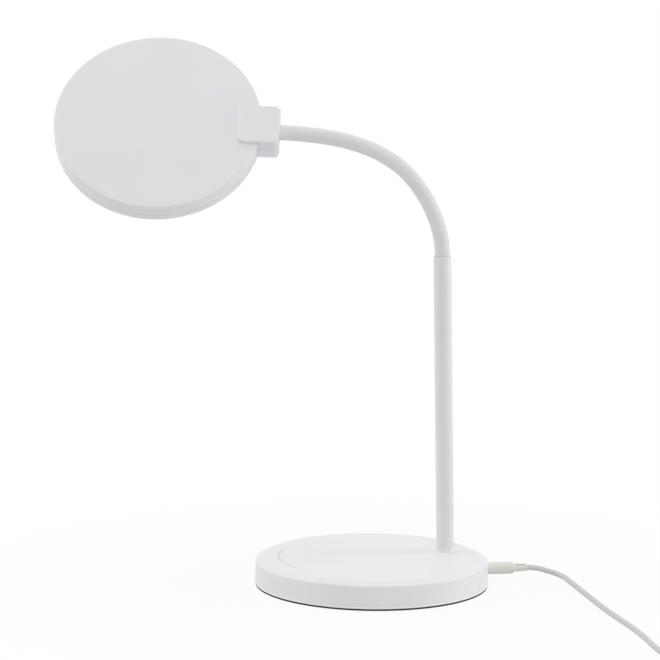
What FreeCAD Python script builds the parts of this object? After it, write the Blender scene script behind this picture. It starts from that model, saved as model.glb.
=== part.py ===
import FreeCAD, Part
import math
import os

# A desk lamp: a round weighted base, an upright stem, a bendable neck and a round flat head.
# The table is z = 0 and +Z is up. The origin is under the middle of the base.
# The neck bends in the plane y = stem_y, and the head hangs out on the -X side.
# Lengths are in millimetres and angles in degrees.

os.makedirs("parts", exist_ok=True)
V = FreeCAD.Vector
UP = V(0, 0, 1)
parts = {}

# Fits and cuts that every piece shares
slip = 0.05  # radial gap of a shaft in its hole
gap = 0.3  # between faces of pieces that move past each other
overrun = 5.0  # how far a cutting tool passes through
tiny = 0.0001  # two points nearer than this are one
arc_share = 0.45  # of the shorter run that an arc between two runs takes

# Base
base_diameter = 170.0
base_height = 20.0
chamfer_width = 6.1
chamfer_drop = 3.0
wall_draft = 0.5
cover_wall = 2.2
cover_edge_round = 0.7
cover_foot_round = 0.6
pad_thickness = 1.2
pad_inset = 0.5
pad_edge_round = 0.4
plate_thickness = 1.5
weight_thickness = 5.0
weight_rim_gap = 8.8  # between the weight and the inside of the cover's wall
weight_edge_chamfer = 1.0
weight_hole_gap = 0.5
well_diameter = 30.0  # room in the weight for the stem's nut and its lead
well_shift = 6.5  # how far that room is set towards the base's middle
rib_thickness = 1.6
hold_down_length = 9.0
hold_down_azimuths = (45, 75, 105, 125, 260, 285, 310)
screw_boss_inset = 16.8  # from the inside of the cover's wall
screw_boss_diameter = 7.2
screw_boss_azimuths = (60, 150, 240, 330)

# Touch control: a fine arc in the base's top with a copper strip under it
touch_azimuth = 189.5
touch_spread_angle = 54.0
touch_inset = 10.9  # from the edge of the flat top
touch_line_width = 1.1
touch_line_depth = 0.25
electrode_width = 8.0
electrode_thickness = 0.25

# Stem
stem_inset = 20.6072  # from the edge of the base's flat top
stem_azimuth = 22.3855
stem_lean = 1.4  # off upright, towards the head, under the head's weight
stem_diameter = 12.9
stem_length = 218.1  # from the base's top to the stem's mouth
stem_wall = 0.9
stem_mouth_round = 0.5
stem_seat_depth = 4.5
collar_diameter = 14.8
collar_height = 2.4
collar_foot = 0.7  # height of its upright foot, under the flare
collar_lip = 0.25
stem_boss_diameter = 19.0
stem_boss_floor = 2.0
gusset_reach = 8.0
nipple_diameter = 10.0
nipple_bore = 6.0
nipple_grip = 9.0  # how far the threaded nipple reaches up into the tube
washer_diameter = 17.0
washer_thickness = 1.0
nut_across_flats = 14.0
nut_height = 4.0
nipple_stub = 0.8  # what the nipple shows below its nut

# Neck: seven pivots between eight sections
neck_diameter = 11.0
neck_length = 165.5
neck_bend = 86.6  # how far the neck turns from the stem's line at rest
neck_pivots = 7
neck_length_shares = (0.059, 0.094, 0.135, 0.112, 0.091, 0.122, 0.176, 0.211)
sleeve_wall = 1.2
link_diameter = 8.3
link_bore = 4.0
link_lip = 1.6  # how far a link's cup stops short of its pivot
mouth_depth = 4.0  # how far the sleeve reaches into the stem
ferrule_length = 12.0
ring_thickness = 0.8
ring_diameter = 10.2
ring_groove = 0.5
link_tail = 2.0

# Head and the block that grips its rim
head_roll = 51.5  # how far the head is turned about the arm's end, 0 being level
head_diameter = 149.8
head_thickness = 16.0
head_edge_round = 1.8
head_wall = 2.0
seam_share = 0.62  # of the head's thickness, from its back
seam_gap = 0.2
head_lip_width = 4.8
head_lip_thickness = 1.2
spigot_height = 3.0
spigot_wall = 1.0
diffuser_thickness = 2.0
diffuser_margin = 3.0  # how far the diffuser reaches behind the lip
board_standoff = 1.6
led_board_rim_gap = 7.8  # between the board and the inside of the cover's rim
led_board_thickness = 1.6
reflector_thickness = 0.5
led_size = 3.0
led_height = 0.8
led_ring_shares = (0.34, 0.62, 0.90)
led_ring_counts = (6, 12, 18)
rib_ring_shares = (0.25, 0.75)
board_screw_circle_diameter = 100.0
board_screw_count = 4

block_length = 31.2
block_width = 32.0
block_depth = 20.2
block_grip = 18.1  # how far the block reaches over the head
block_corner_round = 4.2
block_edge_round = 1.6
pivot_neck_diameter = 10.0
pivot_neck_length = 3.0
pivot_flange_diameter = 15.0
pivot_flange_thickness = 2.5
friction_washer_thickness = 0.8
lead_channel = 5.0
block_screw_spread = 22.0
block_screw_inset = 8.5

# Screws: shank diameter, head diameter, head height, length under the head
base_screw = (3.0, 5.6, 1.3, 9.0)
small_screw = (2.0, 3.6, 1.0, 4.0)
block_screw = (2.5, 4.4, 1.8, 12.0)
screw_recess = 1.0
screw_tip_gap = 0.4  # between a screw's tip and the end of its hole
post_diameter = 5.0

# Control board, jack and leads inside the base
board_length = 44.0
board_width = 30.0
board_thickness = 1.6
board_corner = 2.0
board_to_touch = 30.0  # from the board's middle to the touch arc
board_post = 3.6
board_hole_inset = 3.5
chip_size = (9.0, 7.0, 1.2)
coil_part_size = (7.0, 7.0, 3.0)
capacitor_diameter = 6.3
capacitor_height = 3.8
plug_in_size = (6.0, 12.0, 3.4)
lead_diameter = 2.2
jack_azimuth = 9.5
jack_height = 9.0  # of the plug's axis over the table
jack_length = 14.0
jack_width = 9.0
jack_body_height = 11.0
jack_nose_diameter = 9.0
jack_nose_inset = 0.4
jack_bore = 6.4
jack_bore_depth = 10.5
jack_pin_diameter = 2.0
jack_pin_inset = 1.0

# Cord with its plugs
cord_diameter = 4.0
plug_diameter = 8.7
plug_length = 19.0
plug_end_round = 0.8
barrel_diameter = 5.5
barrel_bore = 2.5
barrel_length = 9.5
relief_diameter = 6.4
relief_length = 10.2
relief_tip_diameter = 5.4
relief_slot = 0.9
relief_slot_rows = 4
end_run = 22.0  # the cord's last run on the table, in line with the coil's start
coil_x = 223.0
coil_y = -233.0
coil_middle_diameter = 44.0
coil_turns = 6.5
coil_side_gap = 0.6
coil_layer_gap = 0.5
coil_ease = 0.12  # share of a turn in which the spiral turns from inward to outward
coil_swing_width = 4.0  # how far the last half turn moves out to clear the turns below
usb_shell_size = (12.0, 12.0, 4.5)
usb_shell_wall = 0.35
usb_tongue_thickness = 1.8
usb_body_size = (25.0, 15.6, 7.6)
usb_corner_round = 2.0
usb_relief_length = 10.0
usb_relief_diameter = 6.0

# Sizes that follow from the ones above
base_radius = base_diameter / 2
flat_radius = base_radius - chamfer_width
touch_radius = flat_radius - touch_inset
board_middle = touch_radius - board_to_touch
plate_top = pad_thickness + plate_thickness
weight_top = plate_top + weight_thickness
inner_top = base_height - cover_wall
inner_radius = base_radius - cover_wall
weight_radius = inner_radius - weight_rim_gap
screw_boss_radius = inner_radius - screw_boss_inset
stem_radius = stem_diameter / 2
stem_bore_radius = stem_radius - stem_wall
neck_radius = neck_diameter / 2
sleeve_bore_radius = neck_radius - sleeve_wall
link_radius = link_diameter / 2
head_radius = head_diameter / 2
head_back = head_thickness / 2
head_front = head_back - head_thickness
head_reach = block_length - block_grip + head_radius
head_seam = head_back - seam_share * head_thickness
skirt_radius = head_radius - head_wall
led_board_radius = skirt_radius - led_board_rim_gap
cord_radius = cord_diameter / 2


def outline(points, place):
    """A closed wire through points (a, b) or (a, b, corner radius), each put in space by place."""
    corners = []
    for i, point in enumerate(points):
        here = place(point[0], point[1])
        if len(point) == 2:
            corners.append((here, None, here))
            continue
        radius = point[2]
        before = points[i - 1]
        after = points[(i + 1) % len(points)]
        back = (place(before[0], before[1]) - here).normalize()
        on = (place(after[0], after[1]) - here).normalize()
        half = back.getAngle(on) / 2
        reach = radius / math.tan(half)
        middle = here + (back + on).normalize() * (radius / math.sin(half) - radius)
        corners.append((here + back * reach, middle, here + on * reach))
    edges = []
    for i, (start, middle, end) in enumerate(corners):
        if middle is not None:
            edges.append(Part.Arc(start, middle, end).toShape())
        following = corners[(i + 1) % len(corners)][0]
        if (following - end).Length > tiny:
            edges.append(Part.LineSegment(end, following).toShape())
    return Part.Wire(edges)


def lathe(points):
    """Turns an outline of (radius, height) points once round the Z axis."""
    wire = outline(points, lambda radius, height: V(radius, 0, height))
    return Part.Face(wire).revolve(V(), UP, 360)


def plate(points, low, high):
    """An outline of (x, y) points, raised from one height to another."""
    wire = outline(points, lambda x, y: V(x, y, low))
    return Part.Face(wire).extrude(V(0, 0, high - low))


def rounded_rectangle(x0, x1, y0, y1, corner):
    """The four corners of a rectangle, all rounded alike."""
    return [(x0, y0, corner), (x1, y0, corner), (x1, y1, corner), (x0, y1, corner)]


def cylinder(diameter, low, high, x=0, y=0):
    """An upright round bar."""
    return Part.makeCylinder(diameter / 2, high - low, V(x, y, low))


def slab(x0, x1, y0, y1, z0, z1):
    """A box between two corners."""
    return Part.makeBox(x1 - x0, y1 - y0, z1 - z0, V(x0, y0, z0))


def sector(outer, inner, low, high, middle, spread):
    """A piece of a flat ring, centred on an azimuth."""
    band = Part.makeCylinder(outer, high - low, V(0, 0, low), UP, spread)
    band = band.cut(Part.makeCylinder(inner, high - low, V(0, 0, low), UP, spread))
    band.rotate(V(), UP, middle - spread / 2)
    return band


def put(placement, shape):
    """A copy of a shape, moved by a placement."""
    moved = shape.copy()
    moved.Placement = placement.multiply(moved.Placement)
    return moved


def turned(shape, azimuth):
    """A copy of a shape, turned about the base's axis."""
    return put(FreeCAD.Placement(V(), FreeCAD.Rotation(UP, azimuth)), shape)


def polar(radius, azimuth):
    """The x and y of a point at a radius and azimuth from the base's axis."""
    angle = math.radians(azimuth)
    return radius * math.cos(angle), radius * math.sin(angle)


def screw(sizes, sunk=False):
    """A screw that points up, with the underside of its head at z = 0 and a cross recess in it."""
    shank, head, height, length = sizes
    if sunk:
        body = lathe([(0, -height), (head / 2, -height), (shank / 2, 0), (shank / 2, length), (0, length)])
    else:
        body = lathe([(0, -height), (head / 2, -height), (head / 2, 0), (shank / 2, 0), (shank / 2, length), (0, length)])
    half_slot = shank / 8
    half_cross = head / 4
    deep = height / 2
    cross = slab(-half_cross, half_cross, -half_slot, half_slot, -height, -deep)
    cross = cross.fuse(slab(-half_slot, half_slot, -half_cross, half_cross, -height, -deep))
    return body.cut(cross)


def group(shapes):
    """Separate solids under one name."""
    return Part.makeCompound(shapes)


stem_x, stem_y = polar(flat_radius - stem_inset, stem_azimuth)
stem_place = FreeCAD.Placement(V(stem_x, stem_y, base_height), FreeCAD.Rotation(V(0, 1, 0), -stem_lean))
jack_place = FreeCAD.Placement(V(0, 0, jack_height), FreeCAD.Rotation(UP, jack_azimuth))
lay_along_x = FreeCAD.Placement(V(), FreeCAD.Rotation(V(0, 1, 0), 90))


# Base: cover, plate, weight and pad

def board_posts():
    """The four posts of the control board, as (x, y) beside the base's middle."""
    across = board_width / 2 - board_hole_inset
    along = board_length / 2 - board_hole_inset
    return [(board_middle + i * along, j * across) for i in (-1, 1) for j in (-1, 1)]


def stem_socket(cover):
    """Adds the boss that takes the stem, its gussets and its bores."""
    depth = stem_seat_depth + stem_boss_floor
    boss = cylinder(stem_boss_diameter, -depth, -cover_wall / 2)
    arm = slab(0, stem_boss_diameter / 2 + gusset_reach, -rib_thickness / 2, rib_thickness / 2,
               -stem_seat_depth, -cover_wall / 2)
    for azimuth in (45, 135, 225, 315):
        boss = boss.fuse(turned(arm, azimuth))
    cover = cover.fuse(put(stem_place, boss))
    seat = cylinder(stem_diameter + 2 * slip, -stem_seat_depth, overrun)
    hole = cylinder(nipple_diameter + 2 * slip, -depth - overrun, overrun)
    return cover.cut(put(stem_place, seat.fuse(hole)))


def jack_cradle(cover):
    """Adds the two ribs that hold the jack, and its hole in the wall."""
    side = jack_width / 2 + slip
    back = inner_radius - jack_length
    floor = jack_height - jack_body_height / 4
    for sign in (-1, 1):
        near, far = sorted((sign * side, sign * (side + rib_thickness)))
        cover = cover.fuse(turned(slab(back, inner_radius, near, far, floor, inner_top), jack_azimuth))
    hole = put(lay_along_x, cylinder(jack_nose_diameter + 2 * slip, inner_radius - cover_wall, base_radius + overrun))
    return cover.cut(put(jack_place, hole))


def base_cover():
    wall_top = base_height - chamfer_drop
    shell = lathe([
        (0, base_height),
        (flat_radius, base_height, cover_edge_round),
        (base_radius - wall_draft, wall_top, cover_edge_round),
        (base_radius, pad_thickness, cover_foot_round),
        (inner_radius, pad_thickness),
        (inner_radius - wall_draft, wall_top - cover_wall / 2),
        (flat_radius - cover_wall / 2, inner_top),
        (0, inner_top),
    ])
    for azimuth in screw_boss_azimuths:
        x, y = polar(screw_boss_radius, azimuth)
        shell = shell.fuse(cylinder(screw_boss_diameter, plate_top, inner_top + cover_wall / 2, x, y))
    rib = slab(weight_radius - hold_down_length, inner_radius, -rib_thickness / 2, rib_thickness / 2, weight_top, inner_top)
    for azimuth in hold_down_azimuths:
        shell = shell.fuse(turned(rib, azimuth))
    for x, y in board_posts():
        post = cylinder(post_diameter, inner_top - board_post, inner_top + cover_wall / 2, x, y)
        shell = shell.fuse(turned(post, touch_azimuth))
    shell = jack_cradle(stem_socket(shell))
    hole_end = pad_thickness + base_screw[2] + base_screw[3] + screw_tip_gap
    for azimuth in screw_boss_azimuths:
        x, y = polar(screw_boss_radius, azimuth)
        shell = shell.cut(cylinder(base_screw[0] + 2 * slip, plate_top - overrun, hole_end, x, y))
    for x, y in board_posts():
        low = inner_top - board_post - overrun
        pilot = cylinder(small_screw[0] + 2 * slip, low, inner_top - screw_recess / 2, x, y)
        shell = shell.cut(turned(pilot, touch_azimuth))
    line = sector(touch_radius + touch_line_width / 2, touch_radius - touch_line_width / 2,
                  base_height - touch_line_depth, base_height + overrun, touch_azimuth, touch_spread_angle)
    return shell.cut(line).removeSplitter()


def base_plate():
    sheet = cylinder(2 * (inner_radius - gap), pad_thickness, plate_top)
    shank, head, height, length = base_screw
    sink = lathe([(0, -overrun), (head / 2 + slip, -overrun), (head / 2 + slip, -height),
                  (shank / 2 + slip, 0), (shank / 2 + slip, overrun), (0, overrun)])
    for azimuth in screw_boss_azimuths:
        x, y = polar(screw_boss_radius, azimuth)
        sheet = sheet.cut(put(FreeCAD.Placement(V(x, y, pad_thickness + height), FreeCAD.Rotation()), sink))
    return sheet


def counterweight():
    radius = weight_radius
    edge = weight_edge_chamfer
    iron = lathe([(0, plate_top), (radius, plate_top), (radius, weight_top - edge),
                  (radius - edge, weight_top), (0, weight_top)])
    for azimuth in screw_boss_azimuths:
        x, y = polar(screw_boss_radius, azimuth)
        hole = cylinder(screw_boss_diameter + 2 * weight_hole_gap, plate_top - overrun, weight_top + overrun, x, y)
        iron = iron.cut(hole)
    off_middle = math.hypot(stem_x, stem_y)
    back = 1 - well_shift / off_middle
    well = cylinder(well_diameter, plate_top - overrun, weight_top + overrun, stem_x * back, stem_y * back)
    side = jack_width / 2 + rib_thickness + weight_hole_gap
    notch = slab(inner_radius - jack_length - 2 * weight_hole_gap, inner_radius, -side, side,
                 plate_top - overrun, weight_top + overrun)
    return iron.cut(well).cut(turned(notch, jack_azimuth))


def non_slip_pad():
    radius = base_radius - pad_inset
    return lathe([(0, 0), (radius, 0, pad_edge_round), (radius, pad_thickness), (0, pad_thickness)])


def base_screws():
    one = screw(base_screw, sunk=True)
    height = base_screw[2]
    places = [polar(screw_boss_radius, azimuth) for azimuth in screw_boss_azimuths]
    return group([put(FreeCAD.Placement(V(x, y, pad_thickness + height), FreeCAD.Rotation()), one) for x, y in places])


parts["base_cover"] = base_cover()
parts["base_plate"] = base_plate()
parts["counterweight"] = counterweight()
parts["non_slip_pad"] = non_slip_pad()
parts["base_screws"] = base_screws()


# Electronics in the base

board_top = inner_top - board_post
board_low = board_top - board_thickness


def control_board():
    half = board_width / 2
    edge = rounded_rectangle(board_middle - board_length / 2, board_middle + board_length / 2, -half, half, board_corner)
    board = plate(edge, board_low, board_top)
    for x, y in board_posts():
        board = board.cut(cylinder(small_screw[0] + 2 * slip, board_low - overrun, board_top + overrun, x, y))
    return turned(board, touch_azimuth)


def board_screws():
    one = screw(small_screw)
    seats = [put(FreeCAD.Placement(V(x, y, board_low), FreeCAD.Rotation()), one) for x, y in board_posts()]
    return turned(group(seats), touch_azimuth)


def hung(length, width, height, x, y):
    """A part under the board, by the middle of its footprint."""
    return slab(x - length / 2, x + length / 2, y - width / 2, y + width / 2, board_low - height, board_low)


lead_height = weight_top + lead_diameter
near_edge = board_middle - board_length / 2


def board_parts():
    """Chip, coil, two capacitors and the plug-in for the leads, hanging under the board."""
    solids = [
        hung(*chip_size, board_middle, board_width / 5),
        hung(*coil_part_size, board_middle + board_length / 4, -board_width / 5),
        hung(*plug_in_size, near_edge + plug_in_size[0] / 2 + board_hole_inset, 0),
    ]
    for share in (0, 1 / 3):
        x = board_middle + board_length * (share - 1 / 8)
        y = -board_width / 4 if share == 0 else board_width / 5
        solids.append(cylinder(capacitor_diameter, board_low - capacitor_height, board_low, x, y))
    return turned(group(solids), touch_azimuth)


def touch_electrode():
    return sector(touch_radius + electrode_width / 2, touch_radius - electrode_width / 2,
                  inner_top - electrode_thickness, inner_top, touch_azimuth, touch_spread_angle)


def dc_jack():
    front = base_radius - jack_nose_inset
    half = jack_width / 2
    top = jack_body_height / 2
    body = slab(inner_radius - jack_length, inner_radius - gap - wall_draft, -half, half, -top, top)
    nose = put(lay_along_x, cylinder(jack_nose_diameter, inner_radius - jack_length / 2, front))
    bore = put(lay_along_x, cylinder(jack_bore, front - jack_bore_depth, front + overrun))
    pin = put(lay_along_x, cylinder(jack_pin_diameter, front - jack_bore_depth - jack_pin_inset, front - jack_pin_inset))
    return put(jack_place, body.fuse(nose).cut(bore).fuse(pin).removeSplitter())


def round_path(points):
    """Straight runs joined by tangent arcs, each as large as its two runs allow. Where the route runs
    straight on through a point, there is no arc. Gives the wire, the arcs' radii and the length."""
    edges = []
    radii = []
    length = 0
    start = points[0]
    for i in range(1, len(points) - 1):
        back = points[i - 1] - points[i]
        on = points[i + 1] - points[i]
        turn = math.pi - back.getAngle(on)
        if turn < tiny:
            continue
        reach = arc_share * min(back.Length, on.Length)
        radius = reach / math.tan(turn / 2)
        back.normalize()
        on.normalize()
        middle = points[i] + (back + on).normalize() * (radius / math.cos(turn / 2) - radius)
        arc_start = points[i] + (points[i - 1] - points[i]).normalize() * reach
        arc_end = points[i] + (points[i + 1] - points[i]).normalize() * reach
        edges.append(Part.LineSegment(start, arc_start).toShape())
        edges.append(Part.Arc(arc_start, middle, arc_end).toShape())
        radii.append(radius)
        length += (arc_start - start).Length + radius * turn
        start = arc_end
    edges.append(Part.LineSegment(start, points[-1]).toShape())
    length += (points[-1] - start).Length
    return Part.Wire(edges), radii, length


def tube_on(wire, start, direction, radius):
    """A round bar along a wire that starts at a point in a direction."""
    ring = Part.Wire(Part.makeCircle(radius, start, direction))
    return wire.makePipeShell([ring], True, False)


def jack_lead():
    """The two-core lead from the jack to the board, lying on the weight along one diameter."""
    start = -(near_edge + board_hole_inset)
    bar = put(lay_along_x, cylinder(lead_diameter, start, inner_radius - jack_length))
    return turned(put(FreeCAD.Placement(V(0, 0, lead_height), FreeCAD.Rotation()), bar), jack_azimuth)


def stem_lead():
    """The lead from the board to the head: over the weight, down into its well and up the stem."""
    nipple_end = -(stem_seat_depth + stem_boss_floor + washer_thickness + nut_height + nipple_stub)
    foot = stem_place.multVec(V(0, 0, nipple_end))
    well = stem_place.multVec(V(0, 0, plate_top + lead_diameter / 2 + gap - base_height))
    side = plug_in_size[1] / 4
    x, y = polar(1, touch_azimuth)
    first = V(x, y, 0) * (near_edge + board_hole_inset - gap) + V(y, -x, 0) * side + V(0, 0, lead_height)
    over = V(stem_x - stem_boss_diameter / 2 - gusset_reach, stem_y - gusset_reach, lead_height)
    middle = (first + over) * 0.5 + V(0, gusset_reach / 2, 0)
    top = stem_place.multVec(V(0, 0, stem_length - mouth_depth - ferrule_length - 2 * ring_thickness - link_tail - gap))
    inside = stem_place.multVec(V(0, 0, stem_seat_depth))
    points = [first, middle, over, well, foot, inside, top]
    wire, radii, length = round_path(points)
    return tube_on(wire, first, middle - first, lead_diameter / 2)


parts["control_board"] = control_board()
parts["board_screws"] = board_screws()
parts["board_parts"] = board_parts()
parts["touch_electrode"] = touch_electrode()
parts["dc_jack"] = dc_jack()
parts["jack_lead"] = jack_lead()
parts["stem_lead"] = stem_lead()


# Stem

def stem_tube():
    mouth = neck_radius + gap
    edge = stem_mouth_round
    return put(stem_place, lathe([
        (stem_bore_radius, -stem_seat_depth),
        (stem_radius, -stem_seat_depth),
        (stem_radius, stem_length, edge),
        (mouth, stem_length),
        (mouth, stem_length - mouth_depth),
        (stem_bore_radius, stem_length - mouth_depth),
    ]))


def stem_collar():
    inside = stem_radius + slip
    band = put(stem_place, lathe([
        (inside, -overrun),
        (collar_diameter / 2, -overrun),
        (collar_diameter / 2, collar_foot),
        (inside + collar_lip, collar_height),
        (inside, collar_height),
    ]))
    reach = collar_diameter
    below = slab(stem_x - reach, stem_x + reach, stem_y - reach, stem_y + reach, -base_height, base_height)
    return band.cut(below)


def stem_nipple():
    low = -(stem_seat_depth + stem_boss_floor + washer_thickness + nut_height + nipple_stub)
    outer = nipple_diameter / 2
    inner = nipple_bore / 2
    shoulder = stem_bore_radius - slip
    return put(stem_place, lathe([
        (inner, low),
        (outer, low),
        (outer, -stem_seat_depth),
        (shoulder, -stem_seat_depth),
        (shoulder, nipple_grip),
        (inner, nipple_grip),
    ]))


def stem_washer():
    low = -(stem_seat_depth + stem_boss_floor + washer_thickness)
    disc = cylinder(washer_diameter, low, low + washer_thickness)
    return put(stem_place, disc.cut(cylinder(nipple_diameter + 2 * slip, low - overrun, overrun)))


def stem_nut():
    high = -(stem_seat_depth + stem_boss_floor + washer_thickness)
    low = high - nut_height
    corner = nut_across_flats / math.sqrt(3)
    corners = [polar(corner, 60 * k) for k in range(6)]
    nut = plate(corners, low, high)
    cone = lathe([(0, low), (nut_across_flats / 2, low), (corner, low + (corner - nut_across_flats / 2)),
                  (corner, high), (0, high)])
    nut = nut.common(cone)
    return put(stem_place, nut.cut(cylinder(nipple_diameter + 2 * slip, low - overrun, high + overrun)))


def neck_ferrule():
    high = stem_length - mouth_depth
    low = high - ferrule_length
    bush = cylinder(2 * stem_bore_radius, low, high)
    return put(stem_place, bush.cut(cylinder(link_diameter + 2 * slip, low - overrun, high + overrun)))


parts["stem_tube"] = stem_tube()
parts["stem_collar"] = stem_collar()
parts["stem_nipple"] = stem_nipple()
parts["stem_washer"] = stem_washer()
parts["stem_nut"] = stem_nut()
parts["neck_ferrule"] = neck_ferrule()


# Neck: a chain of tangent arcs, one for each section between two pivots

def heading(bend):
    """The way the neck runs where it has turned by an angle from upright towards the head."""
    angle = math.radians(bend)
    return V(-math.sin(angle), 0, math.cos(angle))


def along(start, bend, length, turn):
    """The end of an arc of a given length and turn."""
    half = math.radians(turn) / 2
    chord = length * math.sin(half) / half
    return start + heading(bend + turn / 2) * chord


def neck_sections():
    """For each section its start, the bend there, its length and its own turn."""
    full = neck_bend / neck_pivots
    start = stem_place.multVec(V(0, 0, stem_length))
    bend = stem_lean
    sections = []
    for i, share in enumerate(neck_length_shares):
        turn = full / 2 if i in (0, neck_pivots) else full
        length = neck_length * share
        sections.append((start, bend, length, turn))
        start = along(start, bend, length, turn)
        bend += turn
    return sections, start, bend


def arc_bar(start, bend, length, turn, radius):
    """A round bar along an arc in the neck's plane."""
    bow = length / math.radians(turn)
    centre = start + heading(bend + 90) * bow
    face = Part.Face(Part.Wire(Part.makeCircle(radius, start, heading(bend))))
    return face.revolve(centre, V(0, -1, 0), turn)


def straight_bar(start, bend, low, high, radius):
    """A round bar along the neck's line at a place, between two distances from it."""
    way = heading(bend)
    return Part.makeCylinder(radius, high - low, start + way * low, way)


sections, arm_end, arm_bend = neck_sections()


def neck_link(i):
    """A hollow link with a ball at its lower end and a cup for the next ball at its upper end."""
    start, bend, length, turn = sections[i]
    end = along(start, bend, length, turn)
    last = i == neck_pivots
    kept = 1 if last else 1 - link_lip / length
    body = arc_bar(start, bend, length * kept, turn * kept, link_radius)
    bore = arc_bar(start, bend, length, turn, link_bore / 2)
    bore = bore.fuse(straight_bar(start, bend, -2 * link_radius, 0, link_bore / 2))
    if i == 0:
        body = body.fuse(straight_bar(start, bend, -neck_tail, 0, link_radius))
        bore = bore.fuse(straight_bar(start, bend, -neck_tail - overrun, 0, link_bore / 2))
        groove_low = -neck_tail + link_tail
        groove = straight_bar(start, bend, groove_low, groove_low + ring_thickness, link_radius + overrun)
        groove = groove.cut(straight_bar(start, bend, groove_low, groove_low + ring_thickness, link_radius - ring_groove))
        body = body.cut(groove)
    else:
        body = body.fuse(Part.makeSphere(link_radius, start, heading(bend), -90, 0, 360))
    if last:
        tail = pivot_neck_length + pivot_flange_thickness + gap
        body = body.fuse(straight_bar(end, bend + turn, 0, tail, link_radius))
        bore = bore.fuse(straight_bar(end, bend + turn, 0, tail + overrun, link_bore / 2))
    else:
        body = body.cut(Part.makeSphere(link_radius + slip, end))
    return body.cut(bore).removeSplitter()


def neck_sleeve(i):
    """The smooth skin over one section."""
    start, bend, length, turn = sections[i]
    kept = 1 - gap / length if i == neck_pivots else 1
    skin = arc_bar(start, bend, length * kept, turn * kept, neck_radius)
    skin = skin.cut(arc_bar(start, bend, length, turn, sleeve_bore_radius))
    if i == 0:
        tail = straight_bar(start, bend, gap - mouth_depth, 0, neck_radius)
        tail = tail.cut(straight_bar(start, bend, gap - mouth_depth, 0, sleeve_bore_radius))
        skin = skin.fuse(tail).removeSplitter()
    return skin


neck_tail = mouth_depth + ferrule_length + ring_thickness + link_tail + slip


def neck_ring():
    """The open ring that keeps the neck from lifting out of its ferrule."""
    start, bend, length, turn = sections[0]
    low = -neck_tail + link_tail
    ring = straight_bar(start, bend, low, low + ring_thickness, ring_diameter / 2)
    ring = ring.cut(straight_bar(start, bend, low - overrun, overrun, link_radius - ring_groove))
    mouth = ring_diameter / 2
    opening = slab(0, ring_diameter, -mouth / 2, mouth / 2, -neck_tail - overrun, 0)
    turned_mouth = FreeCAD.Placement(start, FreeCAD.Rotation(V(0, 1, 0), -bend))
    return ring.cut(put(turned_mouth, opening))


for i in range(neck_pivots + 1):
    parts[f"neck_link_{i}"] = neck_link(i)
    parts[f"neck_sleeve_{i}"] = neck_sleeve(i)
parts["neck_ring"] = neck_ring()


# Head: built level about the arm's axis, which runs along x, then put on the arm's end

level_head = FreeCAD.Rotation(V(0, 1, 0), 90 - arm_bend)
head_place = FreeCAD.Placement(arm_end, level_head.multiply(FreeCAD.Rotation(V(1, 0, 0), head_roll)))
disc_place = FreeCAD.Placement(V(-head_reach, 0, 0), FreeCAD.Rotation())
flange_start = -pivot_neck_length
flange_end = flange_start - slip - pivot_flange_thickness
chamber_end = flange_end - 2 * slip - friction_washer_thickness


def on_disc(shape):
    """Puts a piece that was made about the head's own middle in its place."""
    return put(head_place, put(disc_place, shape))


def pivot_bush():
    """The flanged bush on the arm's end, about which the block and the head turn."""
    neck = put(lay_along_x, cylinder(pivot_neck_diameter, flange_end, 0))
    flange = put(lay_along_x, cylinder(pivot_flange_diameter, flange_end, flange_start - slip))
    bore = put(lay_along_x, cylinder(link_diameter, flange_end - overrun, overrun))
    return put(head_place, neck.fuse(flange).cut(bore).removeSplitter())


def friction_washer():
    disc = cylinder(pivot_flange_diameter, chamber_end, chamber_end + friction_washer_thickness)
    disc = disc.cut(cylinder(link_diameter + 2 * gap, chamber_end - overrun, overrun))
    return put(head_place, put(lay_along_x, disc))


def block_outline():
    half = block_width / 2
    return rounded_rectangle(-block_length, 0, -half, half, block_corner_round)


def block_half(low, high, outer):
    """One half of the block, its outer edges rounded, with room for the head and the pivot."""
    body = plate(block_outline(), low, high)
    rim = [edge for edge in body.Edges if all(abs(v.Point.z - outer) < tiny for v in edge.Vertexes)]
    body = body.makeFillet(block_edge_round, rim)
    room = put(disc_place, cylinder(head_diameter + 2 * slip, head_front, head_back))
    mouth = put(lay_along_x, cylinder(pivot_neck_diameter + 2 * slip, flange_end, overrun))
    chamber = put(lay_along_x, cylinder(pivot_flange_diameter + 2 * slip, chamber_end, flange_start))
    channel = put(lay_along_x, cylinder(lead_channel, -block_length, 0))
    return body.cut(room).cut(mouth).cut(chamber).cut(channel)


def block_screw_places():
    return [(-block_screw_inset, sign * block_screw_spread / 2) for sign in (-1, 1)]


def block_upper():
    half = block_half(0, block_depth / 2, block_depth / 2)
    for x, y in block_screw_places():
        reach = block_screw[3] - block_depth / 2 + screw_recess + block_screw[2]
        half = half.cut(cylinder(block_screw[0] + 2 * slip, -overrun, reach + slip, x, y))
    return put(head_place, half)


def block_lower():
    half = block_half(-block_depth / 2, 0, -block_depth / 2)
    seat = -block_depth / 2 + screw_recess + block_screw[2]
    for x, y in block_screw_places():
        half = half.cut(cylinder(block_screw[1] + 2 * slip, -block_depth, seat, x, y))
        half = half.cut(cylinder(block_screw[0] + 2 * slip, -block_depth, overrun, x, y))
    return put(head_place, half)


def block_screws():
    one = screw(block_screw)
    seat = -block_depth / 2 + screw_recess + block_screw[2]
    places = [FreeCAD.Placement(V(x, y, seat), FreeCAD.Rotation()) for x, y in block_screw_places()]
    return put(head_place, group([put(place, one) for place in places]))


board_back = head_back - head_wall - board_standoff
board_front = board_back - led_board_thickness
lip_back = head_front + head_lip_thickness
diffuser_back = lip_back + diffuser_thickness
diffuser_radius = head_radius - head_lip_width + diffuser_margin - slip


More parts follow.
